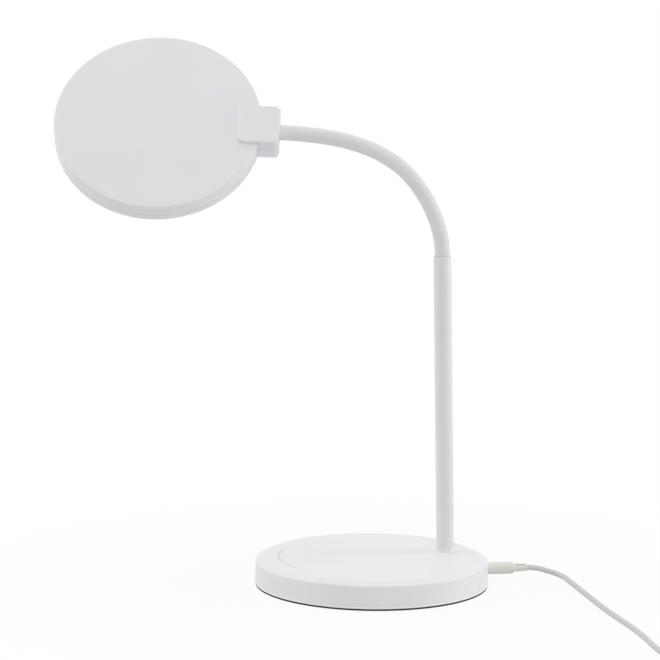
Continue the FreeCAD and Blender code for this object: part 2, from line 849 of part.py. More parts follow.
def board_screw_places():
    return [polar(board_screw_circle_diameter / 2, 45 + 360 * k / board_screw_count) for k in range(board_screw_count)]


def head_back_cover():
    ceiling = head_back - head_wall
    shell = lathe([
        (0, head_back),
        (head_radius, head_back, head_edge_round),
        (head_radius, head_seam + seam_gap),
        (skirt_radius, head_seam + seam_gap),
        (skirt_radius, ceiling),
        (0, ceiling),
    ])
    for share in rib_ring_shares:
        radius = 2 * led_board_radius * share
        ring = cylinder(radius + rib_thickness, board_back, ceiling + head_wall / 2)
        shell = shell.fuse(ring.cut(cylinder(radius - rib_thickness, board_back - overrun, ceiling + overrun)))
    for x, y in board_screw_places():
        shell = shell.fuse(cylinder(post_diameter, board_back, ceiling + head_wall / 2, x, y))
    for x, y in board_screw_places():
        depth = small_screw[3] - led_board_thickness - reflector_thickness
        shell = shell.cut(cylinder(small_screw[0] + 2 * slip, board_back - overrun, board_back + depth + slip, x, y))
    lead_hole = put(lay_along_x, cylinder(lead_channel, skirt_radius - overrun, head_radius + overrun))
    return on_disc(shell.cut(lead_hole).removeSplitter())


def lead_way(low, high):
    """A bore along the arm's axis that lets the head's lead through with room."""
    return put(lay_along_x, cylinder(lead_diameter + 2 * gap, low, high))


def front_ring():
    """The ring that closes the head's rim and holds the diffuser, with a spigot inside the cover."""
    spigot_outer = skirt_radius - slip
    spigot_inner = spigot_outer - spigot_wall
    opening = head_radius - head_lip_width
    ring = lathe([
        (opening, head_front),
        (head_radius, head_front, head_edge_round),
        (head_radius, head_seam),
        (spigot_outer, head_seam),
        (spigot_outer, head_seam + spigot_height),
        (spigot_inner, head_seam + spigot_height),
        (spigot_inner, diffuser_back),
        (spigot_inner, lip_back),
        (opening, lip_back),
    ])
    return on_disc(ring.cut(lead_way(spigot_inner - overrun, head_radius)))


def diffuser():
    return on_disc(cylinder(2 * min(diffuser_radius, skirt_radius - spigot_wall - 2 * slip), lip_back, diffuser_back))


def led_places():
    """The LEDs' places, on rings about the board's middle."""
    places = []
    for share, count in zip(led_ring_shares, led_ring_counts):
        for k in range(count):
            places.append(polar(share * led_board_radius, 360 * (k + 0.5) / count))
    return places


def led_board():
    board = cylinder(2 * led_board_radius, board_front, board_back)
    for x, y in board_screw_places():
        board = board.cut(cylinder(small_screw[0] + 2 * slip, board_front - overrun, board_back + overrun, x, y))
    return on_disc(board)


def led_chips():
    half = led_size / 2
    return on_disc(group([slab(x - half, x + half, y - half, y + half, board_front - led_height, board_front)
                          for x, y in led_places()]))


def reflector_sheet():
    """White film on the board, with a window for each LED."""
    front = board_front - reflector_thickness
    film = cylinder(2 * led_board_radius, front, board_front)
    half = led_size / 2 + gap
    windows = [slab(x - half, x + half, y - half, y + half, front - overrun, board_front + overrun) for x, y in led_places()]
    holes = [cylinder(small_screw[0] + 2 * slip, front - overrun, board_front + overrun, x, y) for x, y in board_screw_places()]
    return on_disc(film.cut(windows + holes))


def reflector_frame():
    """The sloping white wall between the board and the diffuser, which also holds the diffuser down."""
    front = board_front - reflector_thickness
    outer = skirt_radius - spigot_wall - 3 * slip
    board_edge = led_board_radius
    frame = lathe([
        (outer, diffuser_back),
        (outer, board_back),
        (board_edge + gap, board_back),
        (board_edge + gap, front),
        (board_edge - rib_thickness, front),
        (head_radius - head_lip_width, diffuser_back),
    ])
    return on_disc(frame.cut(lead_way(board_edge - overrun, outer + overrun)))


def led_board_screws():
    one = screw(small_screw)
    front = board_front - reflector_thickness
    places = [FreeCAD.Placement(V(x, y, front), FreeCAD.Rotation()) for x, y in board_screw_places()]
    return on_disc(group([put(place, one) for place in places]))


def head_lead():
    """The lead from the arm's end through the block and the cover's rim to the board's edge."""
    low = -head_reach + led_board_radius + 2 * rib_thickness
    high = chamber_end
    return put(head_place, put(lay_along_x, cylinder(lead_diameter, low, high)))


parts["pivot_bush"] = pivot_bush()
parts["friction_washer"] = friction_washer()
parts["block_upper"] = block_upper()
parts["block_lower"] = block_lower()
parts["block_screws"] = block_screws()
parts["head_back_cover"] = head_back_cover()
parts["front_ring"] = front_ring()
parts["diffuser"] = diffuser()
parts["led_board"] = led_board()
parts["led_chips"] = led_chips()
parts["reflector_sheet"] = reflector_sheet()
parts["reflector_frame"] = reflector_frame()
parts["led_board_screws"] = led_board_screws()
parts["head_lead"] = head_lead()


# Plug and cord

plug_face = base_radius + slip
plug_back = plug_face + plug_length
relief_end = plug_back + relief_length


def plug_barrel():
    low = plug_face - barrel_length
    tube = cylinder(barrel_diameter, low, plug_face)
    return put(jack_place, put(lay_along_x, tube.cut(cylinder(barrel_bore, low - overrun, plug_face + overrun))))


def plug_body():
    radius = plug_diameter / 2
    return put(jack_place, put(lay_along_x, lathe([
        (0, plug_face),
        (radius, plug_face),
        (radius, plug_back, plug_end_round),
        (0, plug_back),
    ])))


def slotted_relief(length, diameter, tip_diameter, rows):
    """A tapered strain relief along z, with pairs of slots that change sides from row to row."""
    body = lathe([(0, 0), (diameter / 2, 0), (tip_diameter / 2, length), (0, length)])
    step = length / (rows + 1)
    floor = cord_radius + (tip_diameter / 2 - cord_radius) / 3
    for row in range(rows):
        low = step * (row + 1) - relief_slot / 2
        for sign in (-1, 1):
            near, far = sorted((sign * floor, sign * diameter))
            if row % 2:
                cut = slab(near, far, -diameter, diameter, low, low + relief_slot)
            else:
                cut = slab(-diameter, diameter, near, far, low, low + relief_slot)
            body = body.cut(cut)
    return body


def plug_relief():
    relief = slotted_relief(relief_length, relief_diameter, relief_tip_diameter, relief_slot_rows)
    seated = put(FreeCAD.Placement(V(plug_back, 0, 0), FreeCAD.Rotation()), put(lay_along_x, relief))
    return put(jack_place, seated)


def cord_route():
    """The cord's free stretch: out of the relief, down to the table and on to the coil."""
    leave = jack_place.multVec(V(relief_end, 0, 0))
    straight = jack_place.multVec(V(relief_end + 2 * cord_diameter, 0, 0))
    lie = cord_radius
    chosen = [
        V(128.4, 18.8, 7.8), V(135.6, 14.6, 6.4), V(140.9, 8.0, 4.9), V(144.9, -4.0, 3.5),
        V(150.0, -20.8, 2.4), V(156.0, -44.6, lie), V(162.4, -74.0, lie), V(169.7, -101.0, lie),
        V(177.2, -127.0, lie), V(183.3, -153.0, lie), V(187.9, -180.5, lie),
    ]
    end = coil_point(0) - coil_way(0) * cord_diameter
    last = end + V(0, end_run, 0)
    return [leave, straight] + chosen + [last, end]


coil_pitch = cord_diameter + coil_side_gap
coil_rise = cord_diameter + coil_layer_gap
coil_outer = coil_middle_diameter / 2 + coil_pitch * coil_turns / 4


def smooth(share):
    """Rises from 0 to 1 with a level start and end."""
    share = min(max(share, 0), 1)
    return share * share * (3 - 2 * share)


def coil_point(turns):
    """A point of the coil: in on the table, up a layer where it reverses, and out on top."""
    half = coil_turns / 2
    distance = abs(turns - half)
    softened = math.sqrt(distance ** 2 + coil_ease ** 2) - coil_ease
    radius = coil_outer - coil_pitch * (half - softened)
    radius += coil_swing_width * smooth((turns - coil_turns + 0.5) / 0.5)
    height = cord_radius + coil_rise * smooth((turns - half + 0.25) / 0.5)
    height += (usb_body_size[2] / 2 - cord_radius - coil_rise) * smooth((turns - coil_turns + 0.25) / 0.25)
    angle = math.pi * (1 + 2 * turns)
    return V(coil_x + radius * math.cos(angle), coil_y + radius * math.sin(angle), height)


def coil_way(turns):
    """The way the coil runs at a point. At its two ends it is level and square to the coil's radius."""
    angle = math.pi * (1 + 2 * turns)
    if turns in (0, coil_turns):
        return V(-math.sin(angle), math.cos(angle), 0)
    step = 0.001
    return (coil_point(turns + step) - coil_point(turns - step)).normalize()


def arc_to(start, corner, end):
    """The arc from one point to another whose end tangents meet at a corner."""
    middle = (start + end) * 0.5
    cosine = (start - middle).Length / (start - corner).Length
    return Part.Arc(start, middle + (corner - middle) * (cosine / (1 + cosine)), end).toShape()


def biarc(start, way, end, end_way):
    """Two arcs that join two points and keep the way the curve runs at both."""
    step = end - start
    both = way + end_way
    spread = 2 * (1 - way.dot(end_way))
    reach = (math.sqrt(step.dot(both) ** 2 + spread * step.dot(step)) - step.dot(both)) / spread
    first = start + way * reach
    second = end - end_way * reach
    meet = (first + second) * 0.5
    return [arc_to(start, first, meet), arc_to(meet, second, end)]


def coil_wire():
    """The coil's line: a straight start, a biarc for each quarter turn, and a straight end."""
    quarters = round(4 * coil_turns)
    marks = [k / 4 for k in range(quarters)] + [coil_turns]
    start = coil_point(0) - coil_way(0) * cord_diameter
    edges = [Part.LineSegment(start, coil_point(0)).toShape()]
    for low, high in zip(marks, marks[1:]):
        edges += biarc(coil_point(low), coil_way(low), coil_point(high), coil_way(high))
    end = coil_point(coil_turns) + coil_way(coil_turns) * cord_diameter
    edges.append(Part.LineSegment(coil_point(coil_turns), end).toShape())
    return Part.Wire(edges), start


def least_gap(wire):
    """The least distance between the coil's own turns, less its diameter."""
    points = wire.discretize(Distance=cord_radius / 2)
    apart = round(4 * math.pi * cord_diameter / cord_radius)
    least = wire.Length
    for i, here in enumerate(points):
        for there in points[i + apart:]:
            least = min(least, (here - there).Length)
    return least - cord_diameter


def cord_tube():
    route = cord_route()
    wire, radii, length = round_path(route)
    tube = tube_on(wire, route[0], route[1] - route[0], cord_radius)
    print("cord arcs, radii:", [round(radius, 1) for radius in radii])
    print("cord tube: length", round(length, 1), "volume against section times length",
          round(tube.Volume / (math.pi * cord_radius ** 2 * length), 4))
    return tube


def cord_coil():
    wire, start = coil_wire()
    coil = tube_on(wire, start, coil_way(0), cord_radius)
    print("coil: length", round(wire.Length, 1), "least gap between turns", round(least_gap(wire), 2),
          "volume against section times length", round(coil.Volume / (math.pi * cord_radius ** 2 * wire.Length), 4))
    return coil


usb_start = coil_point(coil_turns) + coil_way(coil_turns) * cord_diameter
usb_place = FreeCAD.Placement(usb_start, FreeCAD.Rotation(V(1, 0, 0), coil_way(coil_turns)))


def usb_relief():
    relief = lathe([(0, 0), (relief_tip_diameter / 2, 0), (usb_relief_diameter / 2, usb_relief_length), (0, usb_relief_length)])
    return put(usb_place, put(lay_along_x, relief))


def usb_body():
    length, width, height = usb_body_size
    low = usb_relief_length
    body = plate(rounded_rectangle(low, low + length, -width / 2, width / 2, usb_corner_round), -height / 2, height / 2)
    rims = [edge for edge in body.Edges if abs(edge.Vertexes[0].Point.z - edge.Vertexes[1].Point.z) < tiny]
    return put(usb_place, body.makeFillet(usb_corner_round / 2, rims))


def usb_shell():
    length, width, height = usb_shell_size
    low = usb_relief_length + usb_body_size[0]
    wall = usb_shell_wall
    outside = slab(low, low + length, -width / 2, width / 2, -height / 2, height / 2)
    inside = slab(low, low + length + overrun, wall - width / 2, width / 2 - wall, wall - height / 2, height / 2 - wall)
    return put(usb_place, outside.cut(inside))


def usb_tongue():
    length, width, height = usb_shell_size
    low = usb_relief_length + usb_body_size[0]
    wall = usb_shell_wall
    top = height / 2 - wall
    return put(usb_place, slab(low, low + length - wall, wall - width / 2, width / 2 - wall, top - usb_tongue_thickness, top))


parts["plug_barrel"] = plug_barrel()
parts["plug_body"] = plug_body()
parts["plug_relief"] = plug_relief()
parts["cord"] = cord_tube()
parts["cord_coil"] = cord_coil()
parts["usb_relief"] = usb_relief()
parts["usb_body"] = usb_body()
parts["usb_shell"] = usb_shell()
parts["usb_tongue"] = usb_tongue()

for name, shape in parts.items():
    sound = shape.isValid() and all(solid.Volume > 0 for solid in shape.Solids)
    if not sound:
        print("not sound:", name)
    shape.exportStep(f"parts/{name}.step")
print(len(parts), "pieces")
print("arm's end", arm_end, "bend", arm_bend)
for i, (start, bend, length, turn) in enumerate(sections):
    print("section", i, "starts", start, "bend", round(bend, 2))
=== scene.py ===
import bmesh
import bpy
import math
import numpy as np
from mathutils import Matrix, Vector


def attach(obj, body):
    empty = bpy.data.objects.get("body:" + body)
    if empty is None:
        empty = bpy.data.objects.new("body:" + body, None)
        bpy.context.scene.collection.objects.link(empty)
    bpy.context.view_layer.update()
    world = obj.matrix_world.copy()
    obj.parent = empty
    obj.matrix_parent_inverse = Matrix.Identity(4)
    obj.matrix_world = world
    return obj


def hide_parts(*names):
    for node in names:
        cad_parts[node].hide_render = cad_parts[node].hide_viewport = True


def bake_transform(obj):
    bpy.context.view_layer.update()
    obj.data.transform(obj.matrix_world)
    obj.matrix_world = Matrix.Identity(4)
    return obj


# %% [markdown]
# # A white desk lamp
# The lamp stands on a round weighted base. A thin steel stem rises from it and ends in a bendable neck in a white
# silicone sleeve, and a square block at the neck's end grips the rim of a flat round head. A small power plug and its
# cord leave the base at the right. Almost everything is white, so the looks rest on exact edges, on the small
# differences between plastic, paint, silicone and PVC, and on soft light.
#
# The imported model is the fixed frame: every piece made here stands where its solid stands, in metres.
# Sizes below are written in millimetres, as on a drawing, and become metres when a mesh is made.

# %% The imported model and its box
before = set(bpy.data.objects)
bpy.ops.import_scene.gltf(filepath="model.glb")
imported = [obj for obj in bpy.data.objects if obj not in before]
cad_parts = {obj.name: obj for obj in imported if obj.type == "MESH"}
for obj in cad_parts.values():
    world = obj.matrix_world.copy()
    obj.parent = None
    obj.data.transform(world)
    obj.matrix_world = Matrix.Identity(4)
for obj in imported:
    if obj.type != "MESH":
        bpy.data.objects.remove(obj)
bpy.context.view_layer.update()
mm = 0.001

# %% [markdown]
# ## Camera
# The picture is matched by a long lens, from slightly above the lamp and a little to its front. A long lens far away
# flattens perspective: the base's ellipse is nearly the same shape at its near and far edge. The camera's axes were
# found by matching the base's ellipse and the stem's edges, so they are written here as they came out.

# %% Camera at the photograph's place
camera_place = np.array((0.0, -1946.53, 459.37)) * mm
to_right = np.array((0.99980265, 0.01755456, 0.00930057))
to_top = np.array((-0.01165404, 0.13912419, 0.99020636))
towards = np.cross(to_top, to_right)
lens_length = 148.97

camera = bpy.data.objects.new("camera", bpy.data.cameras.new("camera"))
camera.data.lens = lens_length
camera.data.sensor_width = 36.0
camera.data.shift_x, camera.data.shift_y = -0.00076, 0.00106
camera.data.clip_start, camera.data.clip_end = 0.05, 50.0
axes = np.eye(4)
axes[:3, :4] = np.stack([to_right, to_top, -towards, camera_place], 1)
camera.matrix_world = Matrix(axes.tolist())
bpy.context.scene.collection.objects.link(camera)
bpy.context.scene.camera = camera
bpy.context.scene.view_settings.view_transform = "Standard"
print("camera", np.round(camera_place, 3), "lens", lens_length)

# %% [markdown]
# ## Colours and nodes
# A paint or plastic colour is read off a picture as an sRGB hex value, but shaders add and multiply light, which only
# works on linear values. One function turns the first into the second. Another adds a shader node with its settings
# and its inputs, so that each material below reads as a short recipe.

# %% Colour and node helpers
def linear(code):
    """The linear colour of an sRGB hex value: small values are divided by 12.92, and the others are raised to the power
    2.4 after an offset of 0.055."""
    srgb = np.array([int(code[i:i + 2], 16) for i in (1, 3, 5)]) / 255
    value = np.where(srgb <= 0.04045, srgb / 12.92, ((srgb + 0.055) / 1.055) ** 2.4)
    return (*value.tolist(), 1.0)


def add(tree, kind, settings=None, inputs=None):
    """Adds one node, sets its properties, and gives each input a value or links it to another node's output."""
    made = tree.nodes.new("ShaderNode" + kind)
    for name, value in (settings or {}).items():
        setattr(made, name, value)
    for name, value in (inputs or {}).items():
        if isinstance(value, bpy.types.NodeSocket):
            tree.links.new(value, made.inputs[name])
        else:
            made.inputs[name].default_value = value
    return made


def new_material(name):
    """An empty node material and its tree."""
    material = bpy.data.materials.new(name)
    material.use_nodes = True
    material.node_tree.nodes.clear()
    return material, material.node_tree


print("sRGB #808080 is", round(linear("#808080")[0], 3), "in linear values")

# %% [markdown]
# ## Moulded white ABS: the base cover, the block and the head's shell
# ABS housings are injection moulded in tools whose walls are spark eroded. That leaves a very fine grain, which takes
# the mirror shine off and leaves a satin surface: highlights are wide and soft, and the stem shows on the base only as
# a blurred streak. The real grain is about 0.1 mm wide. At this distance that is far smaller than a pixel, so it is
# drawn 0.8 mm wide and very shallow. A second, broad noise of a few centimetres shifts the tone and the gloss slightly,
# as the flow of the plastic in the tool does.
#
# The head and the block share one tone, and the base is a touch lighter. The base also carries the touch mark, a
# pressed arc. A grey line in the material helps the groove in the mesh: it is painted shade, standing for the shade
# that gathers in the groove. The line is a window in radius times a window in azimuth, both read from Object
# coordinates. The azimuth is taken from minus x, so that it doesn't jump inside the mark. The foot of the wall is
# painted lighter: a painted highlight along its rounded edge.

# %% ABS materials
def moulded_abs(name, dark, light):
    """Satin moulded plastic. Returns the material, its tree, its spot, and the tone's and the shader's nodes."""
    material, tree = new_material(name)
    spot = add(tree, "TexCoord").outputs["Object"]
    grain = add(tree, "TexNoise", {}, {"Vector": spot, "Scale": 1 / (0.8 * mm), "Detail": 3.0, "Roughness": 0.6})
    flow = add(tree, "TexNoise", {}, {"Vector": spot, "Scale": 1 / (45 * mm), "Detail": 2.0, "Roughness": 0.5})
    gloss = add(tree, "MapRange", {}, {"Value": flow.outputs["Fac"], "To Min": 0.42, "To Max": 0.5})
    tone = add(tree, "ValToRGB", {}, {"Fac": flow.outputs["Fac"]})
    tone.color_ramp.elements[0].color = linear(dark)
    tone.color_ramp.elements[1].color = linear(light)
    relief = add(tree, "Bump", {}, {"Height": grain.outputs["Fac"], "Strength": 0.12, "Distance": 0.05 * mm})
    shell = add(tree, "BsdfPrincipled", {}, {"Base Color": tone.outputs["Color"], "Roughness": gloss.outputs["Result"],
                                             "IOR": 1.54, "Normal": relief.outputs["Normal"]})
    add(tree, "OutputMaterial", {}, {"Surface": shell.outputs["BSDF"]})
    return material, tree, spot, tone, shell


abs_white = moulded_abs("moulded_white_abs", "#e7e8eb", "#edeef1")[0]
abs_base, tree, spot, tone, shell = moulded_abs("moulded_white_abs_base", "#edeef0", "#f2f3f4")
touch_radius, touch_width, touch_azimuth, touch_spread = 68.0, 1.0, 189.5, 54.0
place = add(tree, "SeparateXYZ", {}, {"Vector": spot})
level = add(tree, "CombineXYZ", {}, {"X": place.outputs["X"], "Y": place.outputs["Y"]})
radius = add(tree, "VectorMath", {"operation": "LENGTH"}, {0: level.outputs["Vector"]})
off_line = add(tree, "Math", {"operation": "SUBTRACT"}, {0: radius.outputs["Value"], 1: touch_radius * mm})
off_line = add(tree, "Math", {"operation": "ABSOLUTE"}, {0: off_line.outputs[0]})
on_line = add(tree, "MapRange", {}, {"Value": off_line.outputs[0], "From Min": 0.42 * touch_width * mm,
                                     "From Max": 0.62 * touch_width * mm, "To Min": 1.0, "To Max": 0.0})
minus_x = add(tree, "Math", {"operation": "MULTIPLY"}, {0: place.outputs["X"], 1: -1.0})
minus_y = add(tree, "Math", {"operation": "MULTIPLY"}, {0: place.outputs["Y"], 1: -1.0})
azimuth = add(tree, "Math", {"operation": "ARCTAN2"}, {0: minus_y.outputs[0], 1: minus_x.outputs[0]})
off_middle = add(tree, "Math", {"operation": "SUBTRACT"}, {0: azimuth.outputs[0], 1: math.radians(touch_azimuth - 180)})
off_middle = add(tree, "Math", {"operation": "ABSOLUTE"}, {0: off_middle.outputs[0]})
in_arc = add(tree, "MapRange", {}, {"Value": off_middle.outputs[0], "From Min": math.radians(touch_spread / 2 - 0.6),
                                    "From Max": math.radians(touch_spread / 2), "To Min": 1.0, "To Max": 0.0})
on_top = add(tree, "MapRange", {}, {"Value": place.outputs["Z"], "From Min": 19.4 * mm, "From Max": 19.6 * mm})
mark = add(tree, "Math", {"operation": "MULTIPLY"}, {0: on_line.outputs["Result"], 1: in_arc.outputs["Result"]})
mark = add(tree, "Math", {"operation": "MULTIPLY"}, {0: mark.outputs[0], 1: on_top.outputs["Result"]})
# Painted shade: along the touch mark's line the base's tone is mixed to grey, for the shade in the pressed groove.
marked = add(tree, "Mix", {"data_type": "RGBA"}, {0: mark.outputs[0], 6: tone.outputs["Color"], 7: linear("#d8dadc")})
# Painted highlight: below 2.4 mm, fading out by 2.9 mm, the wall's tone is mixed to white along its rounded foot.
foot = add(tree, "MapRange", {}, {"Value": place.outputs["Z"], "From Min": 2.4 * mm, "From Max": 2.9 * mm,
                                  "To Min": 1.0, "To Max": 0.0})
painted_shade_and_highlight = add(tree, "Mix", {"data_type": "RGBA"}, {0: foot.outputs["Result"], 6: marked.outputs[2], 7: linear("#ffffff")})
tree.links.new(painted_shade_and_highlight.outputs[2], shell.inputs["Base Color"])
print("touch mark from", touch_azimuth - touch_spread / 2, "to", touch_azimuth + touch_spread / 2, "degrees")

# %% [markdown]
# ## Satin white enamel: the stem and its collar
# The stem is a thin steel tube, sprayed and stoved. Sprayed paint dries with orange peel: shallow waves 1 to 3 mm
# apart that break up the long highlights of a tube just enough to say paint and not plastic.

# %% Enamel material
enamel, tree = new_material("satin_white_enamel")
spot = add(tree, "TexCoord").outputs["Object"]
peel = add(tree, "TexNoise", {}, {"Vector": spot, "Scale": 1 / (2.2 * mm), "Detail": 1.0, "Roughness": 0.4})
wear = add(tree, "TexNoise", {}, {"Vector": spot, "Scale": 1 / (30 * mm), "Detail": 2.0})
gloss = add(tree, "MapRange", {}, {"Value": wear.outputs["Fac"], "To Min": 0.28, "To Max": 0.36})
tone = add(tree, "ValToRGB", {}, {"Fac": wear.outputs["Fac"]})
tone.color_ramp.elements[0].color = linear("#e6e6e6")
tone.color_ramp.elements[1].color = linear("#ebebeb")
relief = add(tree, "Bump", {}, {"Height": peel.outputs["Fac"], "Strength": 0.08, "Distance": 0.1 * mm})
paint = add(tree, "BsdfPrincipled", {}, {"Base Color": tone.outputs["Color"], "Roughness": gloss.outputs["Result"],
                                         "IOR": 1.5, "Normal": relief.outputs["Normal"]})
add(tree, "OutputMaterial", {}, {"Surface": paint.outputs["BSDF"]})
print(enamel.name, len(tree.nodes), "nodes")

# %% [markdown]
# ## White silicone: the neck's sleeve
# Silicone tube is pressed through a die and left dull, so its highlight is broad and faint. The die leaves fine lines
# along the tube. They follow the sleeve's own UV map, where U goes once round the tube and V runs along it.

# %% Silicone material
silicone, tree = new_material("white_silicone_tube")
lines = add(tree, "UVMap", {"uv_map": "along"})
stretch = add(tree, "Mapping", {}, {"Vector": lines.outputs["UV"], "Scale": (28.0, 9.0, 1.0)})
die = add(tree, "TexNoise", {}, {"Vector": stretch.outputs["Vector"], "Scale": 1.0, "Detail": 2.0})
spot = add(tree, "TexCoord").outputs["Object"]
dust = add(tree, "TexNoise", {}, {"Vector": spot, "Scale": 1 / (12 * mm), "Detail": 3.0})
gloss = add(tree, "MapRange", {}, {"Value": dust.outputs["Fac"], "To Min": 0.5, "To Max": 0.62})
tone = add(tree, "ValToRGB", {}, {"Fac": dust.outputs["Fac"]})
tone.color_ramp.elements[0].color = linear("#e4e4e1")
tone.color_ramp.elements[1].color = linear("#e9e9e6")
relief = add(tree, "Bump", {}, {"Height": die.outputs["Fac"], "Strength": 0.1, "Distance": 0.03 * mm})
rubber = add(tree, "BsdfPrincipled", {}, {"Base Color": tone.outputs["Color"], "Roughness": gloss.outputs["Result"],
                                          "IOR": 1.41, "Normal": relief.outputs["Normal"]})
add(tree, "OutputMaterial", {}, {"Surface": rubber.outputs["BSDF"]})
print(silicone.name, len(tree.nodes), "nodes")

# %% [markdown]
# ## White PVC: the plug, the strain reliefs and the cord
# Soft PVC is a touch warmer than the housings and a little duller. Plugs are moulded in a polished or finely blasted
# tool and cords are extruded, but both pick up small scuffs, which show as a slow change of gloss. In the photograph
# the cord is a shade greyer than the plug. The strain relief's own material is darker near its axis, which only the
# slots' floors reach: this is painted shade, for the shade deep in its narrow slots.

# %% PVC materials
def soft_pvc(name, dark, light):
    """Soft PVC with a slow change of gloss from small scuffs."""
    material, tree = new_material(name)
    spot = add(tree, "TexCoord").outputs["Object"]
    scuff = add(tree, "TexNoise", {}, {"Vector": spot, "Scale": 1 / (5 * mm), "Detail": 4.0, "Roughness": 0.6})
    gloss = add(tree, "MapRange", {}, {"Value": scuff.outputs["Fac"], "To Min": 0.4, "To Max": 0.52})
    tone = add(tree, "ValToRGB", {}, {"Fac": scuff.outputs["Fac"]})
    tone.color_ramp.elements[0].color = linear(dark)
    tone.color_ramp.elements[1].color = linear(light)
    relief = add(tree, "Bump", {}, {"Height": scuff.outputs["Fac"], "Strength": 0.05, "Distance": 0.1 * mm})
    skin = add(tree, "BsdfPrincipled", {}, {"Base Color": tone.outputs["Color"], "Roughness": gloss.outputs["Result"],
                                            "IOR": 1.53, "Normal": relief.outputs["Normal"]})
    add(tree, "OutputMaterial", {}, {"Surface": skin.outputs["BSDF"]})
    return material, tree, spot, tone, skin


pvc = soft_pvc("soft_white_pvc", "#e2e0db", "#e8e6e1")[0]
cord_pvc = soft_pvc("extruded_white_pvc", "#cfcfcc", "#d6d6d3")[0]
jack_height, jack_azimuth = 9.0, 9.5
relief_pvc, tree, spot, tone, skin = soft_pvc("soft_white_pvc_slotted", "#e2e0db", "#e8e6e1")
centred = add(tree, "Mapping", {"vector_type": "TEXTURE"}, {"Vector": spot, "Location": (0, 0, jack_height * mm),
                                                            "Rotation": (0, 0, math.radians(jack_azimuth))})
across = add(tree, "VectorMath", {"operation": "MULTIPLY"}, {0: centred.outputs["Vector"], 1: (0, 1, 1)})
radius = add(tree, "VectorMath", {"operation": "LENGTH"}, {0: across.outputs["Vector"]})
# Painted shade: within 2.45 mm of the relief's axis, fading out by 2.6 mm, the tone is mixed to dark grey, so the
# slots' floors look deep in shade.
painted_slot_shade = add(tree, "MapRange", {}, {"Value": radius.outputs["Value"], "From Min": 2.45 * mm, "From Max": 2.6 * mm,
                                   "To Min": 1.0, "To Max": 0.0})
shaded = add(tree, "Mix", {"data_type": "RGBA"},
             {0: painted_slot_shade.outputs["Result"], 6: tone.outputs["Color"], 7: linear("#8d8c88")})
tree.links.new(shaded.outputs[2], skin.inputs["Base Color"])
print(pvc.name, cord_pvc.name, relief_pvc.name)

# %% [markdown]
# ## Black rubber: the pad under the base
# The pad is die cut from sheet rubber. Only its edge shows, as a dark line under the base. Sheet rubber is nearly
# without gloss and has a fine pitted surface.

# %% Rubber material
rubber_black, tree = new_material("black_sheet_rubber")
spot = add(tree, "TexCoord").outputs["Object"]
pits = add(tree, "TexNoise", {}, {"Vector": spot, "Scale": 1 / (0.9 * mm), "Detail": 3.0})
tone = add(tree, "ValToRGB", {}, {"Fac": pits.outputs["Fac"]})
tone.color_ramp.elements[0].color = linear("#0b0c0d")
tone.color_ramp.elements[1].color = linear("#151618")
relief = add(tree, "Bump", {}, {"Height": pits.outputs["Fac"], "Strength": 0.3, "Distance": 0.1 * mm})
skin = add(tree, "BsdfPrincipled", {}, {"Base Color": tone.outputs["Color"], "Roughness": 0.72, "IOR": 1.52,
                                        "Normal": relief.outputs["Normal"]})
add(tree, "OutputMaterial", {}, {"Surface": skin.outputs["BSDF"]})
print(rubber_black.name, len(tree.nodes), "nodes")

# %% [markdown]
# ## Opal acrylic: the diffuser
# The head's light comes out through a sheet of opal acrylic. It is milky all through: light goes in, scatters in the
# sheet and comes out spread, so that the LEDs behind it never show as points. Unlit it looks like white glass with a
# soft depth, which a little subsurface light gives.

# %% Opal material
opal, tree = new_material("opal_acrylic_sheet")
spot = add(tree, "TexCoord").outputs["Object"]
frost = add(tree, "TexNoise", {}, {"Vector": spot, "Scale": 1 / (0.9 * mm), "Detail": 2.0})
haze = add(tree, "TexNoise", {}, {"Vector": spot, "Scale": 1 / (40 * mm), "Detail": 1.0})
gloss = add(tree, "MapRange", {}, {"Value": haze.outputs["Fac"], "To Min": 0.3, "To Max": 0.4})
tone = add(tree, "ValToRGB", {}, {"Fac": haze.outputs["Fac"]})
tone.color_ramp.elements[0].color = linear("#eeedea")
tone.color_ramp.elements[1].color = linear("#f3f2f0")
relief = add(tree, "Bump", {}, {"Height": frost.outputs["Fac"], "Strength": 0.1, "Distance": 0.05 * mm})
sheet = add(tree, "BsdfPrincipled", {}, {"Base Color": tone.outputs["Color"], "Roughness": gloss.outputs["Result"],
                                         "IOR": 1.49, "Subsurface Weight": 0.35, "Subsurface Scale": 2.5 * mm,
                                         "Normal": relief.outputs["Normal"]})
sheet.inputs["Subsurface Radius"].default_value = (1.0, 0.97, 0.92)
add(tree, "OutputMaterial", {}, {"Surface": sheet.outputs["BSDF"]})
print(opal.name, len(tree.nodes), "nodes")

# %% [markdown]
# ## Metals and inner plastics
# A metal has no colour of its own under the reflection: its reflection is tinted. What tells one from another is that
# tint, how rough the surface is, and the marks of how it was made. The inner plastics and boards can't be seen on the
# finished lamp, but each still gets its own material, so that the model can be opened or cut and look right.
#
# One recipe serves them all: cloudy marks of a size in millimetres change the tone, the gloss and the relief together.

